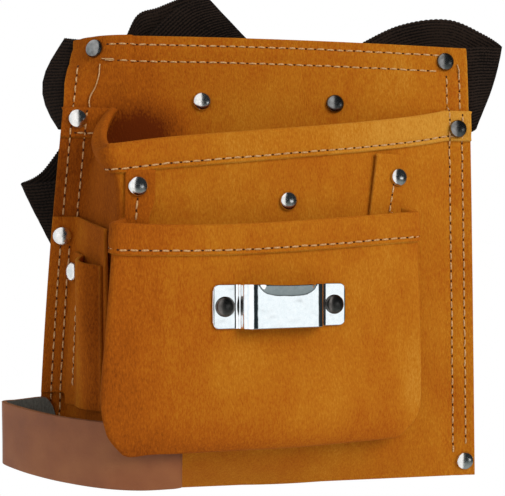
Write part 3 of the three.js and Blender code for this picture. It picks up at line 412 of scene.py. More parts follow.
# rubbed pale along its edges, and darker towards the left
tone = 0.47 + 0.035 * swell(flat_points, 60, 5) + 0.12 * np.exp(-edge_in / 1.2)
back_tone = tone - 0.19 * ease((-45 - x) / 75)
# painted shade on the front inside the pocket's mouth, running on down behind the pocket
tone = back_tone - 0.5 * np.exp(-((x + 78) / 24) ** 2) * ease((-4 - z) / 26)


def groove(distance, deep=0.45):
    """How far a row of stitches pulls the leather in, by the distance from the row"""
    return -deep * np.exp(-(distance / 1.7) ** 2)


def side_grooves(x, z):
    """The pull of both rows of stitches at each side"""
    return sum(groove(inward - inset) for inset in (SEAM_OUTER, SEAM_INNER)
               for inward in (right_edge(z) - x, x - left_edge(z)))


pull = side_grooves(x, z) + groove(Z_TOP + crown - z - TOP_OUTER) + groove(Z_TOP + crown - z - TOP_INNER)
panel = sheet("panel_suede", grid, (suede, cut_edge, suede), extra=pull, tone=tone, inner_tone=back_tone)
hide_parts("back_panel")

# Large pocket: one piece of the same suede. A flange lies on the panel's left edge, a gusset
# comes forward from it, and the front runs flat from the corner fold to the right edge. Its
# mouth is turned over outward and sewn down as a wide hem.

POCKET_TOP_DROP, POCKET_SAG, POCKET_DEPTH, POCKET_FLANGE, POCKET_HEM = 38.5, 23.5, 48.0, 17.0, 16.0
POCKET_HEIGHT = PANEL_HEIGHT - POCKET_TOP_DROP
MOUTH_SLUMP, MOUTH_DIP = 3.4, 1.8  # the whole mouth hangs lower, and its corner a little more
POCKET_BASE_RADIUS, POCKET_FOLD_RADIUS, POCKET_SEAM_RADIUS = 2.5, 3.2, 2.0
POCKET_STEPS, POCKET_ARC = (8, 22, 120, 10), 9  # columns in each straight run and each bend
HEM_ROLL = 4.5
Z_POCKET = Z_TOP - POCKET_TOP_DROP
POCKET_SECTIONS = [  # share of the height, base, fold and depth as shares of the depth
    (0.0, 0.62, 0.51, 1.0), (0.1, 0.46, 0.53, 1.04), (0.17, 0.4, 0.63, 1.04), (0.25, 0.36, 0.72, 1.02),
    (0.33, 0.34, 0.76, 1.0), (0.5, 0.33, 0.81, 1.0), (0.78, 0.31, 0.86, 0.98),
    (0.86, 0.28, 0.86, 0.85), (0.93, 0.24, 0.8, 0.56), (1.0, 0.2, 0.6, 0.06)]


def table(rows, at):
    """Smooth values between the rows of a table, whose first column says where each stands"""
    rows = np.array(rows, float)
    spot, value = rows[:, 0], rows[:, 1:]
    last = len(spot) - 1
    k = np.clip(np.searchsorted(spot, at, side="right") - 1, 0, last - 1)
    below = np.maximum(np.arange(last + 1) - 1, 0)
    above = np.minimum(np.arange(last + 1) + 1, last)
    slope = (value[above] - value[below]) / (spot[above] - spot[below])[:, None]
    span = (spot[k + 1] - spot[k])[..., None]
    t = np.clip((np.asarray(at) - spot[k]) / span[..., 0], 0, 1)[..., None]
    made = ((2 * t ** 3 - 3 * t ** 2 + 1) * value[k] + (t ** 3 - 2 * t ** 2 + t) * span * slope[k]
            + (3 * t ** 2 - 2 * t ** 3) * value[k + 1] + (t ** 3 - t ** 2) * span * slope[k + 1])
    return np.moveaxis(made, -1, 0)


def rounded(corners, radii, steps, arc):
    """A path through corners with each one rounded, as a fixed number of points"""
    path = []
    start = corners[0]
    for k in range(1, len(corners)):
        corner = corners[k]
        is_last = k == len(corners) - 1
        radius = 0 if is_last else np.asarray(radii[k - 1])[..., None]
        enter = corner if is_last else corner + unit(corners[k - 1] - corner) * radius
        path += [start + (enter - start) * s / steps[k - 1] for s in range(steps[k - 1])]
        if is_last:
            return np.array(path + [corner])
        leave = corner + unit(corners[k + 1] - corner) * radius
        for t in np.arange(arc) / arc:
            path.append((1 - t) ** 2 * enter + 2 * t * (1 - t) * corner + t * t * leave)
        start = leave


def pocket_section(z):
    """The panel's side edges, the gusset's base, the corner fold and its depth at a height"""
    at = np.clip((Z_POCKET - z) / POCKET_HEIGHT, 0, 1)
    left, right = left_edge(z), right_edge(z)
    base, fold, depth = table(POCKET_SECTIONS, at) * POCKET_DEPTH
    return left, right, left + base, left + fold, depth


def pocket_front(x, z):
    """Where the middle of the pocket's front is, as y"""
    left, right, base, fold, depth = pocket_section(z)
    seam = right - POCKET_FLANGE
    return Y_POCKET - depth * np.clip((seam - x) / (seam - fold), 0, 1)


def pocket_path(z):
    left, right, base, fold, depth = pocket_section(z)
    limit = depth * 0.3
    corners = [xyz(left, Y_POCKET, z), xyz(base, Y_POCKET, z), xyz(fold, Y_POCKET - depth, z),
               xyz(right - POCKET_FLANGE, Y_POCKET, z), xyz(right, Y_POCKET, z)]
    radii = [np.minimum(limit, POCKET_BASE_RADIUS), np.minimum(limit, POCKET_FOLD_RADIUS),
             POCKET_SEAM_RADIUS + 0 * z]
    return rounded(corners, radii, POCKET_STEPS, POCKET_ARC)


def crisp(grid):
    """Adds a column close to each side edge, so that the edge's bend stays small"""
    near_left = grid[:, :1] + (grid[:, 1:2] - grid[:, :1]) * 0.2
    near_right = grid[:, -1:] + (grid[:, -2:-1] - grid[:, -1:]) * 0.2
    return np.concatenate([grid[:, :1], near_left, grid[:, 1:-1], near_right, grid[:, -1:]], axis=1)


hem_share = POCKET_HEM / POCKET_HEIGHT
v = np.concatenate([[0, 0.003], np.linspace(0.01, hem_share - 0.002, 12),
                    [hem_share, hem_share + 0.0025], np.linspace(hem_share + 0.008, 0.997, 124), [1]])
start = pocket_path(Z_POCKET - POCKET_SAG * np.array(0.5))
forward = (Y_POCKET - start[:, 1]) / POCKET_DEPTH
number = np.arange(len(start))
corner = POCKET_STEPS[0] + POCKET_ARC + POCKET_STEPS[1]
fold_at = corner + POCKET_ARC // 2
is_front = number > corner + POCKET_ARC * 0.67
sunk = np.where(is_front, np.clip(forward, 0, 2) ** 0.8, ease(forward))
mouth = Z_POCKET - MOUTH_SLUMP - POCKET_SAG * sunk + np.where(is_front, 3 * (1 - sunk), 0)
mouth = mouth - MOUTH_DIP * np.exp(-((number - fold_at) / 16) ** 2)
bottom = Z_BOTTOM + 0.6 + CORNER_RISE * ease((fold_at + 30 - number) / 34)
rows = []
for share in v:
    z = mouth + (bottom - mouth) * share
    rows.append(pocket_path(z)[number, number])
grid = crisp(np.array(rows))
in_hem = np.clip(v / hem_share, 0, 1)
# the turned edge stands off in a roll where it goes round the corner
roll = HEM_ROLL * np.exp(-((np.arange(grid.shape[1]) - fold_at + 6) / 11) ** 2)
roll = roll[None] * (np.sin(np.pi * in_hem ** 0.45) ** 0.6)[:, None]
hem = np.where((v <= hem_share)[:, None], LEATHER + roll, 0.0)
hang = swell(grid * (1, 0.5, 1), 80, 8) * 0.7 + swell(grid * (1, 0.5, 1), 200, 9) * 1.2
from_left, from_right = grid[..., 0] - left_edge(grid[..., 2]), right_edge(grid[..., 2]) - grid[..., 0]
free = ease((from_left - 16) / 25) * ease((from_right - 17) / 25) * ease((grid[..., 2] - Z_BOTTOM) / 40)
grid = grid + normals(grid) * (hang * free)[..., None]
# the hem is paler, most towards the right, and the pocket darker towards the left; the gusset, turned away
# from the key light, is painted darker as shade, less so low down
shaded_flank = ease((fold_at + 4 - np.arange(grid.shape[1])) / 4)[None]
tone = 0.5 + 0.04 * swell(grid, 60, 15) + np.where(hem > 0, 0.09 + grid[..., 0] / 640, 0)
tone = tone - shaded_flank * np.where(hem > 0, 0.1, 0.2) - 0.1 * ease((-60 - grid[..., 0]) / 60)
tone = tone + 0.16 * shaded_flank * ease((-163 - grid[..., 2]) / 8)
hem_row = int(np.argmin(np.abs(v - hem_share)))
pocket_seam = hem_share * 0.86
pull = groove((v[:, None] - pocket_seam) * POCKET_HEIGHT, 0.7) + side_grooves(grid[..., 0], grid[..., 2])
pocket_seam_row = float(np.interp(pocket_seam, v, np.arange(len(v))))
pocket = sheet("pocket_suede", grid, (suede, cut_edge, suede), extra=hem + pull, folded=1.6, tone=tone,
               step_rows=[hem_row])
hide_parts("large_pocket")

# Front pocket: a bag of the same suede on the front of the large pocket. Its seam allowances
# are turned inward at both sides and stand above its hemmed mouth; its bottom is rounded.

FRONT_HEIGHT, FRONT_WIDTH, FRONT_RISE, FRONT_HEM = 119.0, 176.0, 9.0, 14.0
FRONT_DEPTH_LEFT, FRONT_DEPTH_RIGHT, FRONT_BELLY = 24.0, 7.5, 5.0
STRIP_SET_IN, STRIP_WIDTH, STRIP_RISE_LEFT, STRIP_RISE_RIGHT = 6.5, 15.0, 28.0, 33.0
Z_FRONT = Z_TOP - 108.0
X_FRONT = -PANEL_TOP_WIDTH / 2 + 22.0
STAND_OFF = LAYER * 1.06
FRONT_SAG = 3.0  # of its mouth, left of the middle
STRIP_LENGTH = 0.66  # below the mouth, as a share of the height
FRONT_STEPS, FRONT_ARC = (8, 5, 12, 92, 10, 5, 8), 5
FRONT_SECTIONS = [  # share of the way down and under, drop, proud, left, right
    (0.0, 0.0, 1.0, 0.0, -0.025), (0.35, 0.42, 1.0, -0.02, -0.015), (0.62, 0.73, 1.0, -0.035, -0.012),
    (0.76, 0.86, 1.0, -0.02, -0.02), (0.84, 0.925, 0.98, 0.008, -0.06), (0.9, 0.945, 0.9, 0.035, -0.1),
    (0.95, 0.83, 0.7, 0.055, -0.11), (1.0, 0.76, 0.0, 0.07, -0.11)]


def front_face(x):
    """Where the middle of the front pocket's face is, as y"""
    share = (x - X_FRONT) / FRONT_WIDTH
    middle = Z_FRONT - FRONT_HEIGHT / 2
    left = pocket_front(X_FRONT + FRONT_DEPTH_LEFT, middle) - FRONT_DEPTH_LEFT
    right = pocket_front(X_FRONT + FRONT_WIDTH, middle) - FRONT_DEPTH_RIGHT
    return left + (right - left) * share - STAND_OFF


def front_row(v):
    """One row of the bag: left strip, left wall, face, right wall and right strip"""
    drop, proud, left, right = table(FRONT_SECTIONS, v)
    drop, proud = drop * FRONT_HEIGHT, np.clip(proud, 0, 1)
    left = X_FRONT + FRONT_WIDTH * left
    right = X_FRONT + FRONT_WIDTH * (1 + right)
    z_left = Z_FRONT - drop
    z_right = z_left + FRONT_RISE - 1.5 * FRONT_RISE * v

    def strip_z(top, tall):
        return top + tall + (-STRIP_LENGTH * FRONT_HEIGHT - tall) * v

    def on_pocket(x, z):
        return xyz(x, pocket_front(x, z) - STAND_OFF, z)

    def face(x, z):
        behind = on_pocket(x, z)
        behind[..., 1] += (front_face(x) - behind[..., 1]) * proud
        return behind

    base_left = np.maximum(X_FRONT + STRIP_SET_IN, left + LAYER)
    base_right = right - FRONT_DEPTH_RIGHT
    zl, zr = strip_z(Z_FRONT, STRIP_RISE_LEFT), strip_z(Z_FRONT + FRONT_RISE, STRIP_RISE_RIGHT)
    # each strip stands up to its full height beside the wall, whose top is cut low
    wall_left = (z_left + 3) * (1 - v) + zl * v
    wall_right = (z_right + 4) * (1 - v) + zr * v
    fan = 1 + 0.42 * np.minimum(1, v / 0.3)
    curl = np.exp(-((v - 0.24) / 0.07) ** 2)  # its free edge lifts off beside the mouth
    loose = on_pocket(base_left + STRIP_WIDTH * (1 - 0.22 * curl), zl) - xyz(0, 3.2 * curl, 0)
    corners = [loose, on_pocket(base_left + 0.6, zl),
               on_pocket(base_left, wall_left), face(left, z_left), face(right, z_right),
               on_pocket(base_right, wall_right), on_pocket(base_right - 0.6, zr),
               on_pocket(base_right - STRIP_WIDTH * fan, zr)]
    radii = [0.6, 0.6, np.maximum(1, 5 * proud), np.maximum(1, 2.5 * proud), 0.6, 0.6]
    row = rounded(corners, radii, FRONT_STEPS, FRONT_ARC)
    belly = FRONT_BELLY * np.sin(np.pi * np.clip((v - 0.43) / 0.55, 0, 1)) ** 1.3
    across = np.clip((row[:, 0] - left) / (right - left), 0, 1)
    in_face = row[:, 1] < on_pocket(row[:, 0], row[:, 2])[..., 1] - FRONT_DEPTH_RIGHT * 0.4 * proud
    sag = FRONT_SAG * np.sin(np.pi * across ** 0.72) ** 1.2 * (1 - ease(v / 0.55))
    row[:, 2] -= np.where(in_face, sag, 0)
    row[:, 1] -= np.where(in_face, belly * np.sin(np.pi * across) ** 0.8, 0)
    return row


hem_share = FRONT_HEM / (1.2 * FRONT_HEIGHT)
v = np.concatenate([[0, 0.004], np.linspace(0.012, hem_share - 0.003, 9),
                    [hem_share, hem_share + 0.0035], np.linspace(hem_share + 0.011, 0.996, 104), [1]])
grid = crisp(np.array([front_row(share) for share in v]))
cols = grid.shape[1]
number = np.arange(cols)
first = FRONT_STEPS[0] + FRONT_STEPS[1] + 2 * FRONT_ARC + 1
is_wall = (number >= first) & (number < cols - first)
hem = np.where((v <= hem_share)[:, None] & is_wall[None], LEATHER, 0.0)
hang = swell(grid * (1, 0.5, 1), 55, 21) * 0.8 + swell(grid * (1, 0.5, 1), 120, 22) * 1.2
# the leather lies flat under the clip, and is held at the mouth, the bottom and the side walls
by_clip = ((grid[..., 0] + 3) / 52) ** 4 + ((grid[..., 2] + 125) / 22) ** 4
by_wall = ease((number - first - 14) / 10) * ease((cols - first - 14 - number) / 10)
free = ease(by_clip - 0.7) * (ease((v - 0.02) / 0.15) * ease((0.93 - v) / 0.1))[:, None] * by_wall
grid = grid + normals(grid) * (hang * free)[..., None]
# darker towards the left and the bottom, and a painted highlight along the fold at its lower right
tone = 0.49 + 0.03 * swell(grid, 50, 25) + np.where(hem > 0, -0.02, 0)
tone = tone - 0.16 * ease((-20 - grid[..., 0]) / 75) - 0.13 * ease((v[:, None] - 0.68) / 0.2)
tone = tone + 0.14 * ease((grid[..., 0] - 58) / 20) * ease((v[:, None] - 0.4) / 0.2)
hem_row = int(np.argmin(np.abs(v - hem_share)))
front_seam = hem_share * 0.85
pull = groove((v[:, None] - front_seam) * FRONT_HEIGHT * 1.2, 0.6) * is_wall[None]
front_seam_row = float(np.interp(front_seam, v, np.arange(len(v))))
front = sheet("front_pocket_suede", grid, (suede, cut_edge, suede), extra=hem + pull, folded=1.5,
              tone=tone, step_rows=[hem_row])
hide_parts("front_pocket")

# Side pocket: a second layer of suede outside the gusset, sewn in along the panel's left edge
# and open at its sloping top.

Z_SIDE = Z_TOP - 101.5
SIDE_SLOPE, SIDE_GAPE, SIDE_HEIGHT = 9.0, 3.0, 96.0
SIDE_TAIL = 12.0  # further down on the gusset, behind the strap


def side_path(z, v):
    """The pocket's left edge, the ends of its run along the gusset, and the gusset's slant"""
    left, right, base, fold, depth = pocket_section(z)
    slant = np.arctan2(fold - base, depth)
    near = (LAYER + CLEAR) / np.cos(slant)
    far = near + SIDE_GAPE * (1 - v) / np.cos(slant)
    start = xyz(base - near, Y_SIDE, z)
    end = xyz(base + (fold - base) * 0.92 - far, Y_POCKET - depth * 0.92, z)
    return xyz(left, Y_SIDE, z), start, end, slant


def side_row(v):
    def height(share):
        top = Z_SIDE - SIDE_SLOPE * share
        bottom = Z_SIDE - SIDE_HEIGHT - SIDE_TAIL * ease(share / 0.2)
        return top + (bottom - top) * v

    def path(z):
        left, start, end, _ = side_path(z, v)
        return rounded([left, start, end], [2.5], (9, 26), 8)

    flat = path(height(np.array(0.0)))
    z = height((Y_SIDE - flat[:, 1]) / POCKET_DEPTH)
    return path(z)[np.arange(len(z)), np.arange(len(z))]


grid = crisp(np.array([side_row(share) for share in spread(60, 0.004)]))
# darker where it turns forward, out of the light
shaded_flank = ease((-18 - grid[..., 1]) / 14)
tone = 0.36 + 0.04 * swell(grid, 50, 35) - 0.10 * shaded_flank
side = sheet("side_pocket_suede", grid, (suede, cut_edge, suede), tone=tone,
             extra=groove(grid[..., 0] - left_edge(grid[..., 2]) - SEAM_OUTER))
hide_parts("side_pocket")

# Tool sleeve: a narrow piece of suede humped up from the side pocket and riveted beside its
# seam, so that a pencil or a nail punch stands in it.

SLEEVE_DROP, SLEEVE_HEIGHT, SLEEVE_BULGE, SLEEVE_TOP_SLOPE = 19.0, 70.0, 7.5, 8.0
SLEEVE_FROM, SLEEVE_TO = 0.16, 0.94


def sleeve_row(v, s):
    top = Z_SIDE - SLEEVE_DROP - SLEEVE_TOP_SLOPE * s
    z = top + (Z_SIDE - SLEEVE_DROP - SLEEVE_HEIGHT - SIDE_TAIL - top) * v
    _, start, end, slant = side_path(z, np.clip((Z_SIDE - z) / SIDE_HEIGHT, 0, 1))
    tube = np.clip((s - 0.28) / 0.66, 0, 1)
    bulge = SLEEVE_BULGE * np.sin(np.pi * tube ** 1.25) ** 0.8 * (1 - 0.55 * ease(v))
    wall = start + (end - start) * (SLEEVE_FROM + (SLEEVE_TO - SLEEVE_FROM) * s)[:, None]
    out = LAYER + bulge
    return wall - np.stack([np.cos(slant) * out, np.sin(slant) * out, 0 * out], axis=-1)


s = spread(64, 0.006)
grid = np.array([sleeve_row(share, s) for share in spread(60, 0.006)])
# a painted highlight along its ridge, and painted shade on its side beside the front pocket
tone = 0.36 + 0.05 * swell(grid, 40, 45) + 0.12 * np.exp(-((s[None] - 0.5) / 0.16) ** 2)
tone = tone - 0.14 * ease((s[None] - 0.62) / 0.25)
sleeve = sheet("sleeve_suede", grid, (suede, cut_edge, suede), tone=tone)
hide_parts("tool_sleeve")

# Hammer loop: a strap of smooth vegetable-tanned leather, brown and lightly glazed on its
# grain side and grey and fuzzy on its flesh side, bent round the pouch's lower left corner.

STRAP_WIDTH, STRAP_THICK, STRAP_REACH, STRAP_FORWARD = 33.0, 2.4, 20.0, 58.0
Z_STRAP = Z_TOP - 218.0
Y_STRAP = Y_POCKET - LEATHER / 2 - CLEAR - STRAP_THICK / 2
STRAP_RUN = [  # share of its length, right, forward, how far it hangs
    (0.0, 0.42, 0.0, -0.04), (0.06, 0.0, 0.0, -0.04), (0.14, -0.66, 0.005, 0.0),
    (0.175, -0.88, 0.035, 0.0), (0.2, -0.92, 0.09, 0.0), (0.24, -0.8, 0.17, 0.02),
    (0.34, -0.16, 0.45, 0.07), (0.46, 0.65, 0.72, 0.12), (0.6, 1.7, 0.96, 0.16),
    (0.72, 2.6, 1.0, 0.2), (0.83, 3.45, 0.985, 0.2), (0.87, 3.64, 0.945, 0.2),
    (0.905, 3.5, 0.895, 0.22), (1.0, 2.85, 0.875, 0.25)]

# grain pores 0.9 mm apart under the glaze, and clouds 22 mm across in the dye
glazed, tree, shader, place = material("strap_glazed_leather")
pores = node(tree, "ShaderNodeTexVoronoi", {"Vector": place, "Scale": 1100.0}).outputs["Distance"]
clouds = noise(tree, place, 45.0, 4.0)
dye = colour(tree, clouds, (0.25, "#7b4527"), (0.75, "#9c6138"), (0.5, "#8c522e"))
relief = bumped(tree, blend(tree, clouds, 2.0, pores), 0.25, 0.0004)
feed(tree, shader, {"Base Color": dye, "Normal": relief, "Roughness": 0.58, "IOR": 1.5})

# the flesh side is raw hide, grey from tanning, with loose fibres
flesh = suede_finish("strap_flesh_side", "#96968e", "#71726c", "#5c5c57", "#3d3c38")
strap_edge = suede_finish("strap_cut_edge", "#b58a6a", "#94674a", "#7d5138", "#5b3724")

t = spread(150, 0.001)
right, forward, low = table(STRAP_RUN, t)
middle = xyz(left_edge(Z_STRAP) + STRAP_REACH * right,
             Y_STRAP - (STRAP_FORWARD + Y_STRAP) * np.maximum(0, forward),
             Z_STRAP - STRAP_WIDTH * low)
# both cut ends are rounded at their corners
from_end = np.minimum(t, 1 - t) * 20
tall = np.where(from_end < 1, np.sqrt(1 - 0.8 * (1 - np.minimum(from_end, 1)) ** 2), 1.0)
w = 0.5 - spread(26, 0.01)
grid = middle[None] + xyz(0, 0, 1)[None, None] * (w[:, None] * STRAP_WIDTH * tall[None])[..., None]
grid = grid + normals(grid) * (0.5 * swell(grid, 45, 51) * np.sin(np.pi * t)[None])[..., None]
strap = sheet("strap_leather", grid, (glazed, strap_edge, flesh), thick=STRAP_THICK)
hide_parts("hammer_loop")

# Waist belt: one closed loop of 50 mm polyester webbing, woven with heavy ribs across it. Its
# front stretch is sewn behind the panel's top edge, and the rest is bunched behind the pouch.

BELT_DEPTH = 28.0
RIB = 1.9  # one weft rib; the real one is 1.2 mm
SEWN_INSET = 0.5
X_HALF = PANEL_TOP_WIDTH / 2
BELT_RUN = [  # across and back as shares, up as a share of the width, lean in degrees, bow
    (1.08, 0.07, 0.03, 6, 0), (1.165, 0.36, 0.1, 20, 0.05), (1.09, 0.62, 0.28, 20, 0),
    (0.955, 0.68, 0.42, 5, 0), (0.8, 0.68, 0.37, -20, 0), (0.61, 0.64, 0.16, -31, 0),
    (0.26, 0.43, -0.34, -32, 0), (-0.26, 0.29, -1.06, -30, 0), (-0.74, 0.27, -1.5, -16, 0),
    (-0.97, 0.29, -1.6, -6, 0), (-1.135, 0.45, -1.61, -28, 0.03), (-0.97, 0.61, -1.32, -50, 0),
    (-0.765, 0.64, -0.64, -56, 0), (-0.54, 0.64, 0.04, -54, 0), (-0.31, 0.68, 0.6, -50, 0),
    (-0.165, 0.84, 0.74, -45, 0), (-0.31, 1.0, 0.68, -25, 0), (-0.52, 1.03, 0.49, -12, 0),
    (-0.645, 1.0, 0.37, -8, 0), (-0.735, 0.97, -0.02, -8, 0), (-0.87, 0.92, -0.05, -3, 0),
    (-0.99, 0.82, 0.0, -2, 0.02)]
wide = np.linspace(0.5, -0.5, 9)


def sewn_station(share):
    """The webbing's width at a share of the stretch sewn behind the panel"""
    return curled((share - 0.5) * (PANEL_TOP_WIDTH - 2 * SEWN_INSET), Y_BELT, wide * BELT_WIDTH)


def free_station(across, back, up, lean, bow):
    """Its width at one row of the run"""
    lean = math.radians(lean)
    out = bow * BELT_WIDTH * (1 - 4 * wide ** 2) * np.sign(across)
    return xyz(across * X_HALF + math.sin(lean) * wide * BELT_WIDTH + out,
               Y_BELT + back * BELT_DEPTH, up * BELT_WIDTH + math.cos(lean) * wide * BELT_WIDTH)


def corner_station(out, along):
    """Its width where it comes forward round the top left corner"""
    end = sewn_station(0.0)
    x = end[:, 0] - BELT_WIDTH * out * (0.16 + 0.04 * wide + 0.16 * (1 - 4 * wide ** 2))
    return xyz(x, end[:, 1] + (Y_BELT + BELT_DEPTH * 0.82 - end[:, 1]) * along, wide * BELT_WIDTH * 1.04)


anchors = np.array([sewn_station(0.9), sewn_station(1.0)] + [free_station(*row) for row in BELT_RUN]
                   + [corner_station(0.95, 0.62), corner_station(1.0, 0.34),
                      sewn_station(0.0), sewn_station(0.03)])
loose = []  # a smooth curve through the stations
for k in range(1, len(anchors) - 2):
    a, b, c, d = anchors[k - 1:k + 3]
    for t in np.arange(24) / 24:
        loose.append(b + 0.5 * t * (c - a + t * (2 * a - 5 * b + 4 * c - d + t * (3 * (b - c) + d - a))))
run = np.array([sewn_station(u) for u in np.linspace(0, 1, 240)] + loose[1:])
run = np.roll(run, -int(len(run) * 0.56), axis=0)  # the join is inside the clasp
run = np.concatenate([run, run[:1]])
step = np.linalg.norm(np.diff(run[:, 4], axis=0), axis=1)
length = np.concatenate([[0], np.cumsum(step)])
along = np.arange(0, length[-1], RIB / 4)
run = np.stack([[np.interp(along, length, run[:, i, c]) for c in range(3)] for i in range(9)])
run = np.moveaxis(run, 1, 2)
rib = np.abs(np.sin(np.pi * along / RIB))
run[0] += unit(run[0] - run[1]) * (0.45 * rib)[:, None]
run[-1] += unit(run[-1] - run[-2]) * (0.45 * rib)[:, None]

webbing, tree, shader, place = material("webbing_woven_polyester")
run_at = node(tree, "ShaderNodeAttribute", attribute_name="run").outputs["Fac"]
breadth = node(tree, "ShaderNodeAttribute", attribute_name="breadth").outputs["Fac"]
plane = node(tree, "ShaderNodeCombineXYZ", {"X": run_at, "Y": breadth}).outputs[0]
# warp yarns 0.9 mm apart run along it, over and under the ribs
WARP = 0.0009
warp = node(tree, "ShaderNodeTexWave", {"Vector": plane, "Scale": 3.14159 / 20 / WARP, "Distortion": 0.6,
                                        "Detail": 1.0}, bands_direction="Y").outputs["Fac"]
fuzz = noise(tree, place, 1300.0, 3.0)
worn = noise(tree, place, 30.0, 3.0)
mixed = blend(tree, worn, 0.5, blend(tree, warp, 0.35, fuzz))
dye = colour(tree, mixed, (0.5, "#050403"), (1.15, "#2a201a"), (0.85, "#100c0a"))
feed(tree, shader, {"Base Color": dye, "Normal": bumped(tree, mixed, 0.6, 0.0004),
                    "Roughness": 0.9, "Specular IOR Level": 0.12})
belt = sheet("belt_webbing", run, (webbing, webbing, webbing), thick=(1.25 + 0.4 * rib)[None],
             edge_round=0.2, coords=(along[None], wide[:, None] * BELT_WIDTH))
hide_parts("waist_belt")

# Belt clasp: one block of black ABS, moulded with a fine grit, hidden behind the pouch with
# the webbing through it. It keeps its solid and has only a finish.

moulded = grained("clasp_moulded_plastic", 1500.0, "#151515", "#232222", 0.5, (0.3, 0.0002))
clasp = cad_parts["belt_buckle"].data
clasp.materials.clear()
clasp.materials.append(moulded)

# Tape clip: one strip of pressed sheet steel, polished and chromed. Two plates lie on the
# front pocket, and the bridge between them stands off, its top edge flared for a tape's hook.

CLIP_PLATE, CLIP_RUN, CLIP_RISE, CLIP_BRIDGE, CLIP_HEIGHT = 13.5, 5.0, 8.0, 41.5, 22.5
CLIP_THICK, CLIP_CORNER, CLIP_FROM_LEFT = 1.2, 3.5, 59.0
CREASE_DEEP, CREASE_APART = 0.22, 2.1
LIP_DEEP, LIP_OUT, LIP_HALF, SCOOP = 5.4, 2.3, 16.0, 0.5
Z_CLIP = Z_TOP - 149.0
slope = math.atan2(front_face(X_FRONT + FRONT_WIDTH) - front_face(X_FRONT), FRONT_WIDTH)
FACE_OUT = np.array([math.sin(slope), -math.cos(slope), 0])
FACE_ALONG = np.array([math.cos(slope), math.sin(slope), 0])


def on_face(from_left, z, out):
    """A point off the front pocket's face, measured along it from its left edge"""
    x = X_FRONT + from_left * math.cos(slope)
    return np.array([x, front_face(x), z]) + FACE_OUT * (LEATHER / 2 + out)


chromed, tree, shader, place = material("clip_chromed_steel")
# polishing leaves faint waves that bend the reflections
ripple = noise(tree, place, 70.0)
smear = noise(tree, place, 400.0, 4.0)
gloss = node(tree, "ShaderNodeMapRange", {"Value": smear, "To Min": 0.05, "To Max": 0.16}).outputs[0]
feed(tree, shader, {"Base Color": colour(tree, smear, (0.3, "#e6ebed"), (0.7, "#f6f8f9")),
                    "Normal": bumped(tree, ripple, 0.45, 0.001), "Roughness": gloss, "Metallic": 1.0})

half = CLIP_PLATE + CLIP_RUN + CLIP_BRIDGE / 2
foot, top = half - CLIP_PLATE, CLIP_BRIDGE / 2
corners = [np.array(c, float) for c in ((-half, 0, 0), (-foot, 0, 0), (-top, 0, CLIP_RISE),
                                         (top, 0, CLIP_RISE), (foot, 0, 0), (half, 0, 0))]
bend = rounded(corners, [1.5, 3.4, 3.4, 1.5], (16, 40, 44, 8, 16), 12)
at, lift = bend[:, 0], bend[:, 2]
# two shallow creases from the press run down the left riser
in_riser = ease((-top - 0.4 - at) / 0.8) * ease((at + foot - 0.6) / 0.8)
crease = CREASE_DEEP * np.sin(2 * np.pi * (at + foot) / CREASE_APART) * in_riser
from_end = np.clip((CLIP_CORNER - (half - np.abs(at))) / CLIP_CORNER, 0, 1)
cut = CLIP_CORNER * (1 - np.sqrt(1 - from_end ** 2))
scoop = SCOOP * np.clip(1 - (at / (LIP_HALF + 1)) ** 2, 0, 1)
w = spread(40, 0.008)[:, None]
z = (CLIP_HEIGHT / 2 - cut - scoop) * (1 - w) - (CLIP_HEIGHT / 2 - cut) * w
lip = LIP_DEEP * np.sqrt(np.clip(1 - np.abs(at / LIP_HALF) ** 3.5, 0.01, 1))  # how far down it starts
flare = LIP_OUT * np.clip(1 - w * CLIP_HEIGHT / lip, 0, 1) ** 1.4 * ease((LIP_HALF + 1 - np.abs(at)) / 4)
out = CLEAR + CLIP_THICK / 2 + (lift + crease)[None] + flare
middle = on_face(CLIP_FROM_LEFT + half - CLIP_PLATE / 2, Z_CLIP, 0)
grid = middle + FACE_ALONG * at[None, :, None] + FACE_OUT * out[..., None] + xyz(0, 0, z)
clip = sheet("tape_clip_steel", grid, (chromed,) * 3, thick=CLIP_THICK, edge_round=0.25)
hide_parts("tape_clip")

# Rivets: two-piece tubular rivets of nickel-plated steel. A domed cap shows in front, and a
# washer with the turned-over shank holds it at the back. The clip's two are the dullest.


def metal_finish(name, pale, dull, low, high):
    """Plated steel, barrel-tumbled: clear reflections under fine scratches and handling haze"""
    made, tree, shader, place = material(name)
    haze = noise(tree, place, 260.0, 5.0, Roughness=0.65)
    gloss = node(tree, "ShaderNodeMapRange", {"Value": haze, "From Min": 0.3, "From Max": 0.75,
                                              "To Min": low, "To Max": high}).outputs[0]
    feed(tree, shader, {"Base Color": colour(tree, haze, (0.35, pale), (0.75, dull)),
                        "Normal": bumped(tree, haze, 0.15, 0.0003), "Roughness": gloss, "Metallic": 1.0})
    return made


nickel = metal_finish("rivet_nickel_plate", "#e9e8e5", "#c9c7c2", 0.15, 0.30)
dull_nickel = metal_finish("rivet_dull_nickel", "#77736f", "#4b4745", 0.24, 0.45)
# a darker copy of the nickel: painted shade for rivets tilted to mirror the dark room
shaded_nickel = metal_finish("rivet_nickel_painted_dark", "#8b8b8a", "#575655", 0.2, 0.38)
CAP, DOME, SHANK, BURR = 5.25, 2.7, 1.8, 4.0  # radii, and how high the dome is
RIVET_SIDES = 40


def hit(names, spot, way):
    """Where a line from a spot first meets one of the leather pieces, and which way that faces"""
    found = []
    for name in names:
        place, facing, _, far = trees[name].ray_cast(Vector(spot) / 1000, Vector(way))
        if place is not None:
            found.append((far, np.array(place) * 1000, np.array(facing)))
    if not found:
        return None
    return min(found, key=lambda f: f[0])[1:]


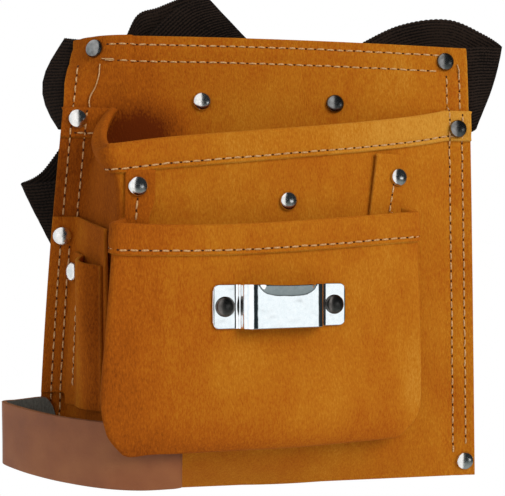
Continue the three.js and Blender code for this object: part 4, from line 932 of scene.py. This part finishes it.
def rivet(name, seat, facing, grip, metal):
    """One rivet seated on the leather, turned from a profile of radius and height"""
    low = -grip - CLEAR
    profile = [(0.01, low - 1.5), (1.3, low - 1.4), (2.2, low - 1.15), (2.5, low - 0.8), (3.5, low - 0.75),
               (3.95, low - 0.5), (BURR, low - 0.25), (3.9, low), (SHANK, low), (SHANK, 0.25),
               (4.6, 0.15), (5.05, 0.12), (CAP, 0.35), (CAP, 0.6)]
    for angle in np.linspace(0.12, 0.5, 11) * math.pi:
        profile.append((CAP * math.cos(angle) ** 0.92 + 0.01, CLEAR + 0.35 + DOME * math.sin(angle)))
    facing = unit(np.asarray(facing, float))
    side = unit(np.cross(facing, (0, 0, 1.0)))
    up = np.cross(side, facing)
    turns = np.linspace(0, 2 * math.pi, RIVET_SIDES, endpoint=False)
    points = [seat + facing * h + (side * math.cos(a) + up * math.sin(a)) * r
              for r, h in profile for a in turns]
    faces = []
    for k in range(len(profile) - 1):
        low, high = k * RIVET_SIDES, (k + 1) * RIVET_SIDES
        for i in range(RIVET_SIDES):
            j = (i + 1) % RIVET_SIDES
            faces.append((low + i, high + i, high + j, low + j))
    faces.append(tuple(range(RIVET_SIDES)))
    faces.append(tuple(high + i for i in reversed(range(RIVET_SIDES))))
    piece = body_piece(name + "_cap", points, faces, [metal])
    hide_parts(name)


ALL_SUEDE = ("panel_suede", "pocket_suede", "front_pocket_suede", "side_pocket_suede")
# these four are tilted to mirror the dark room and get the darker nickel, as painted shade
DARKENED = ("rivet_top_left", "rivet_top_right", "rivet_flange_right", "rivet_belt_right")
# where each stands, how much it clamps, and whether it stands square to the panel
for name, x, z, grip, square in (
    ("rivet_top_left", left_edge(17.3) + 13.5, 17.3, 7.8, False),
    ("rivet_top_right", right_edge(15.8) - 13.5, 15.8, 3.9, True),
    ("rivet_belt_left", -42.1, -11.4, 3.9, True), ("rivet_belt_right", 35.4, -10.7, 3.9, True),
    ("rivet_flange_left", left_edge(-23.2) + 8.5, -23.2, 9.4, True),
    ("rivet_flange_right", right_edge(-24.3) - 8.5, -24.3, 8.2, True),
    ("rivet_side_pocket", left_edge(-88.0) + 5.8, -88.0, 6.6, True),
    ("rivet_bottom_right", right_edge(-219.0) - 6.2, -219.0, 4.9, True),
    ("rivet_strip_left", X_FRONT + STRIP_SET_IN + STRIP_WIDTH * 0.42, Z_FRONT + 20.5, 4.3, False),
    ("rivet_strip_right", X_FRONT + FRONT_WIDTH - FRONT_DEPTH_RIGHT - STRIP_WIDTH * 0.4,
     Z_FRONT + FRONT_RISE + 21.1, 4.3, False),
    ("rivet_front_middle", 2.0, Z_POCKET - 54.5, 2.0, False),
):
    seat, facing = hit(ALL_SUEDE, (x, -300, z), (0, 1, 0))
    rivet(name, seat, (0, -1, 0) if square else facing, grip, shaded_nickel if name in DARKENED else nickel)

drop = SLEEVE_DROP + 11
_, start, end, slant = side_path(np.array(Z_SIDE - drop), drop / SIDE_HEIGHT)
facing = np.array([-math.cos(slant), -math.sin(slant), 0])
seat = start + (end - start) * (SLEEVE_FROM + 0.07) + facing * (LAYER + LEATHER / 2 + 4 * CLEAR)
rivet("rivet_sleeve", seat, facing, 2 * LEATHER + 5 * CLEAR, nickel)
for name, spot in (("clip_rivet_left", 0), ("clip_rivet_right", 2 * half - CLIP_PLATE)):
    rivet(name, on_face(CLIP_FROM_LEFT + spot, Z_CLIP, CLEAR + CLIP_THICK), FACE_OUT, 3.5, dull_nickel)

# Stitching: waxed cream polyester thread, lockstitched at 5.7 mm, with a needle hole at each
# end of a stitch. Two rows run along the top and both sides, and one along each hem.

PITCH, HOLE = 5.7, 0.75  # the hole's radius
THREAD = 1.0  # across; the real one is 0.8 mm

thread = grained("thread_waxed_polyester", 1400.0, "#ae7840", "#e6be88", 0.6, (0.6, 0.0003))
# the burnt rim and the shadow of a hole punched through the hide
hole = grained("needle_hole", 1200.0, "#341606", "#54290e", 1.0)


def lay(names, *corners):
    """A row across the leather as it is seen from in front, through corners (x, z)"""
    spots = []
    for a, b in zip(corners, corners[1:]):
        count = max(2, int(math.dist(a, b) / 1.2))
        spots += [(a[0] + (b[0] - a[0]) * k / count, a[1] + (b[1] - a[1]) * k / count)
                  for k in range(count)]
    found = [hit(names, (x, -300, z), (0, 1, 0)) for x, z in spots + [corners[-1]]]
    found = [f for f in found if f is not None]
    return np.array([f[0] for f in found]), np.array([f[1] for f in found])


def along_skin(name, row, cols):
    """A row along the outer face of a piece, at a row of its grid, between two columns"""
    outer, facing = skins[name]
    low, share = int(row), row - int(row)
    span = slice(*cols)
    return (outer[low, span] * (1 - share) + outer[low + 1, span] * share,
            unit(facing[low, span] * (1 - share) + facing[low + 1, span] * share))


def tube(rings, sides, base=0):
    """The faces of a closed tube through rings of points, its two ends last"""
    faces = []
    for low in range(base, base + (rings - 1) * sides, sides):
        for i in range(sides):
            j = (i + 1) % sides
            faces.append((low + i, low + j, low + sides + j, low + sides + i))
    end = base + (rings - 1) * sides
    return faces + [tuple(range(base, base + sides))[::-1], tuple(range(end, end + sides))]


def sew(name, rows, seed):
    """Stitches and needle holes along rows of points with their facings, as one piece"""
    rng = np.random.default_rng(seed)
    points, faces, kinds = [], [], []

    def add(rings, kind):
        made = tube(len(rings), len(rings[0]), len(points))
        faces.extend(made)
        kinds.extend([kind] * len(made))
        for ring in rings:
            points.extend(ring)

    turns = np.linspace(0, 2 * math.pi, 8, endpoint=False)
    for line, facing in rows:
        far = np.concatenate([[0], np.cumsum(np.linalg.norm(np.diff(line, axis=0), axis=1))])

        def at(s):
            spot = np.array([np.interp(s, far, line[:, c]) for c in range(3)])
            return spot, unit(np.array([np.interp(s, far, facing[:, c]) for c in range(3)]))

        s = 0.0
        while s + PITCH < far[-1]:
            pitch = PITCH * rng.uniform(0.92, 1.08)
            a, n = at(s + HOLE)
            b, _ = at(s + pitch - HOLE)
            way = unit(b - a)
            side = np.cross(n, way)
            a = a + side * rng.normal(0, 0.12)
            b = b + side * rng.normal(0, 0.12)
            rings = []
            for t in np.linspace(0, 1, 7):
                rise = 0.62 * math.sin(math.pi * t) ** 0.55 - 0.30
                thick = THREAD / 2 * (0.62 + 0.38 * math.sin(math.pi * t) ** 0.5)
                centre = a + (b - a) * t + n * rise
                rings.append([centre + side * math.cos(q) * thick + n * math.sin(q) * thick * 0.8
                              for q in turns])
            add(rings, 0)
            centre, n = at(s)
            add([[centre + n * h + way * math.cos(q) * r + side * math.sin(q) * r * 0.68
                  for q in turns] for h, r in ((-0.4, HOLE), (0.1, HOLE), (0.16, 0.6 * HOLE))], 1)
            s += pitch
    body_piece(name, points, faces, [thread, hole], kinds)


def beside_left(inset, top, bottom):
    return [(left_edge(z) + inset, z) for z in np.linspace(top, bottom, 24)]


def beside_right(inset, top, bottom):
    return [(right_edge(z) - inset, z) for z in np.linspace(top, bottom, 24)]


def below_top(inset, from_left, from_right):
    spots = []
    for share in np.linspace(0, 1, 24):
        x = left_edge(Z_TOP) + from_left + share * (PANEL_TOP_WIDTH - from_left - from_right)
        spots.append((x, Z_TOP + 1.5 * math.sin(math.pi * (x / PANEL_TOP_WIDTH + 0.5)) - inset))
    return spots


flat_layers = ("panel_suede", "pocket_suede", "side_pocket_suede")
sew("stitches_edges", [
    lay(("panel_suede",), *below_top(TOP_OUTER, 20, 14)),
    lay(("panel_suede",), *below_top(TOP_INNER, 26, 17)),
    lay(flat_layers, *beside_right(SEAM_OUTER, Z_TOP - 14, -211)),
    lay(flat_layers, *beside_right(SEAM_INNER, Z_TOP - 17, -216)),
    lay(flat_layers, *beside_left(SEAM_OUTER, Z_TOP - 16, -80)),
    lay(flat_layers, *beside_left(SEAM_INNER, Z_TOP - 40, -80)),
    lay(flat_layers, *beside_left(SEAM_OUTER, -94, -190)),
    lay(flat_layers, *beside_left(SEAM_INNER - 2.8, -94, -190)),
], 61)
cols = skins["pocket_suede"][0].shape[1]
sew("stitches_pocket_hem", [
    along_skin("pocket_suede", pocket_seam_row, (corner, cols - 6)),
    along_skin("pocket_suede", pocket_seam_row, (4, POCKET_STEPS[0] + 4)),
], 62)
cols = skins["front_pocket_suede"][0].shape[1]
sew("stitches_front_hem", [
    along_skin("front_pocket_suede", front_seam_row, (first + 2, cols - first - 2)),
], 63)
sew("stitches_strips", [
    lay(("front_pocket_suede",), (X_FRONT + STRIP_SET_IN + 6.2, Z_FRONT + 14),
        (X_FRONT + STRIP_SET_IN + 4.8, Z_FRONT + 1)),
    lay(("front_pocket_suede",), (X_FRONT + FRONT_WIDTH - 16.5, Z_FRONT + 26),
        (X_FRONT + FRONT_WIDTH - 19.5, Z_FRONT + 9)),
], 64)

# the sleeve's left seam, from below its rivet to the strap
outer, facing = skins["sleeve_suede"]
sew("stitches_sleeve", [(outer[16:56, 14], facing[16:56, 14])], 65)


def strand(name, spots, names, seed):
    """A loose end of the same thread, lying on the leather through spots (x, z)"""
    rng = np.random.default_rng(seed)
    line, facing = lay(names, *spots)
    count = len(line)
    padded = np.pad(line, ((2, 2), (0, 0)), mode="edge")
    line = sum(padded[k:k + count] for k in range(5)) / 5  # smoothed over the leather's nap
    line = line + facing * (THREAD * 0.5 + 0.5 * rng.uniform(0, 1, (count, 1)))
    way = unit(np.gradient(line, axis=0))
    side = np.cross(facing, way)
    turns = np.linspace(0, 2 * math.pi, 6, endpoint=False)
    points = [c + (a * math.cos(q) + n * math.sin(q)) * THREAD * 0.36
              for c, a, n in zip(line, side, facing) for q in turns]
    body_piece(name, points, tube(count, len(turns)), [thread])


strand("loose_end_left", [(-99, 9), (-99.5, 2), (-101.5, -5), (-104, -9), (-105.5, -13), (-104.5, -17)],
       ("panel_suede",), 71)
strand("loose_end_knot", [(-99, 12), (-96, 10.5), (-92, 12), (-90, 10.5), (-93, 9.5), (-97, 11)],
       ("panel_suede",), 72)
strand("loose_end_right", [(109, 15), (111.5, 10), (110, 6)], ("panel_suede",), 73)

size = {"cad": cad_box, "visual": [list(corner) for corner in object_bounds()]}
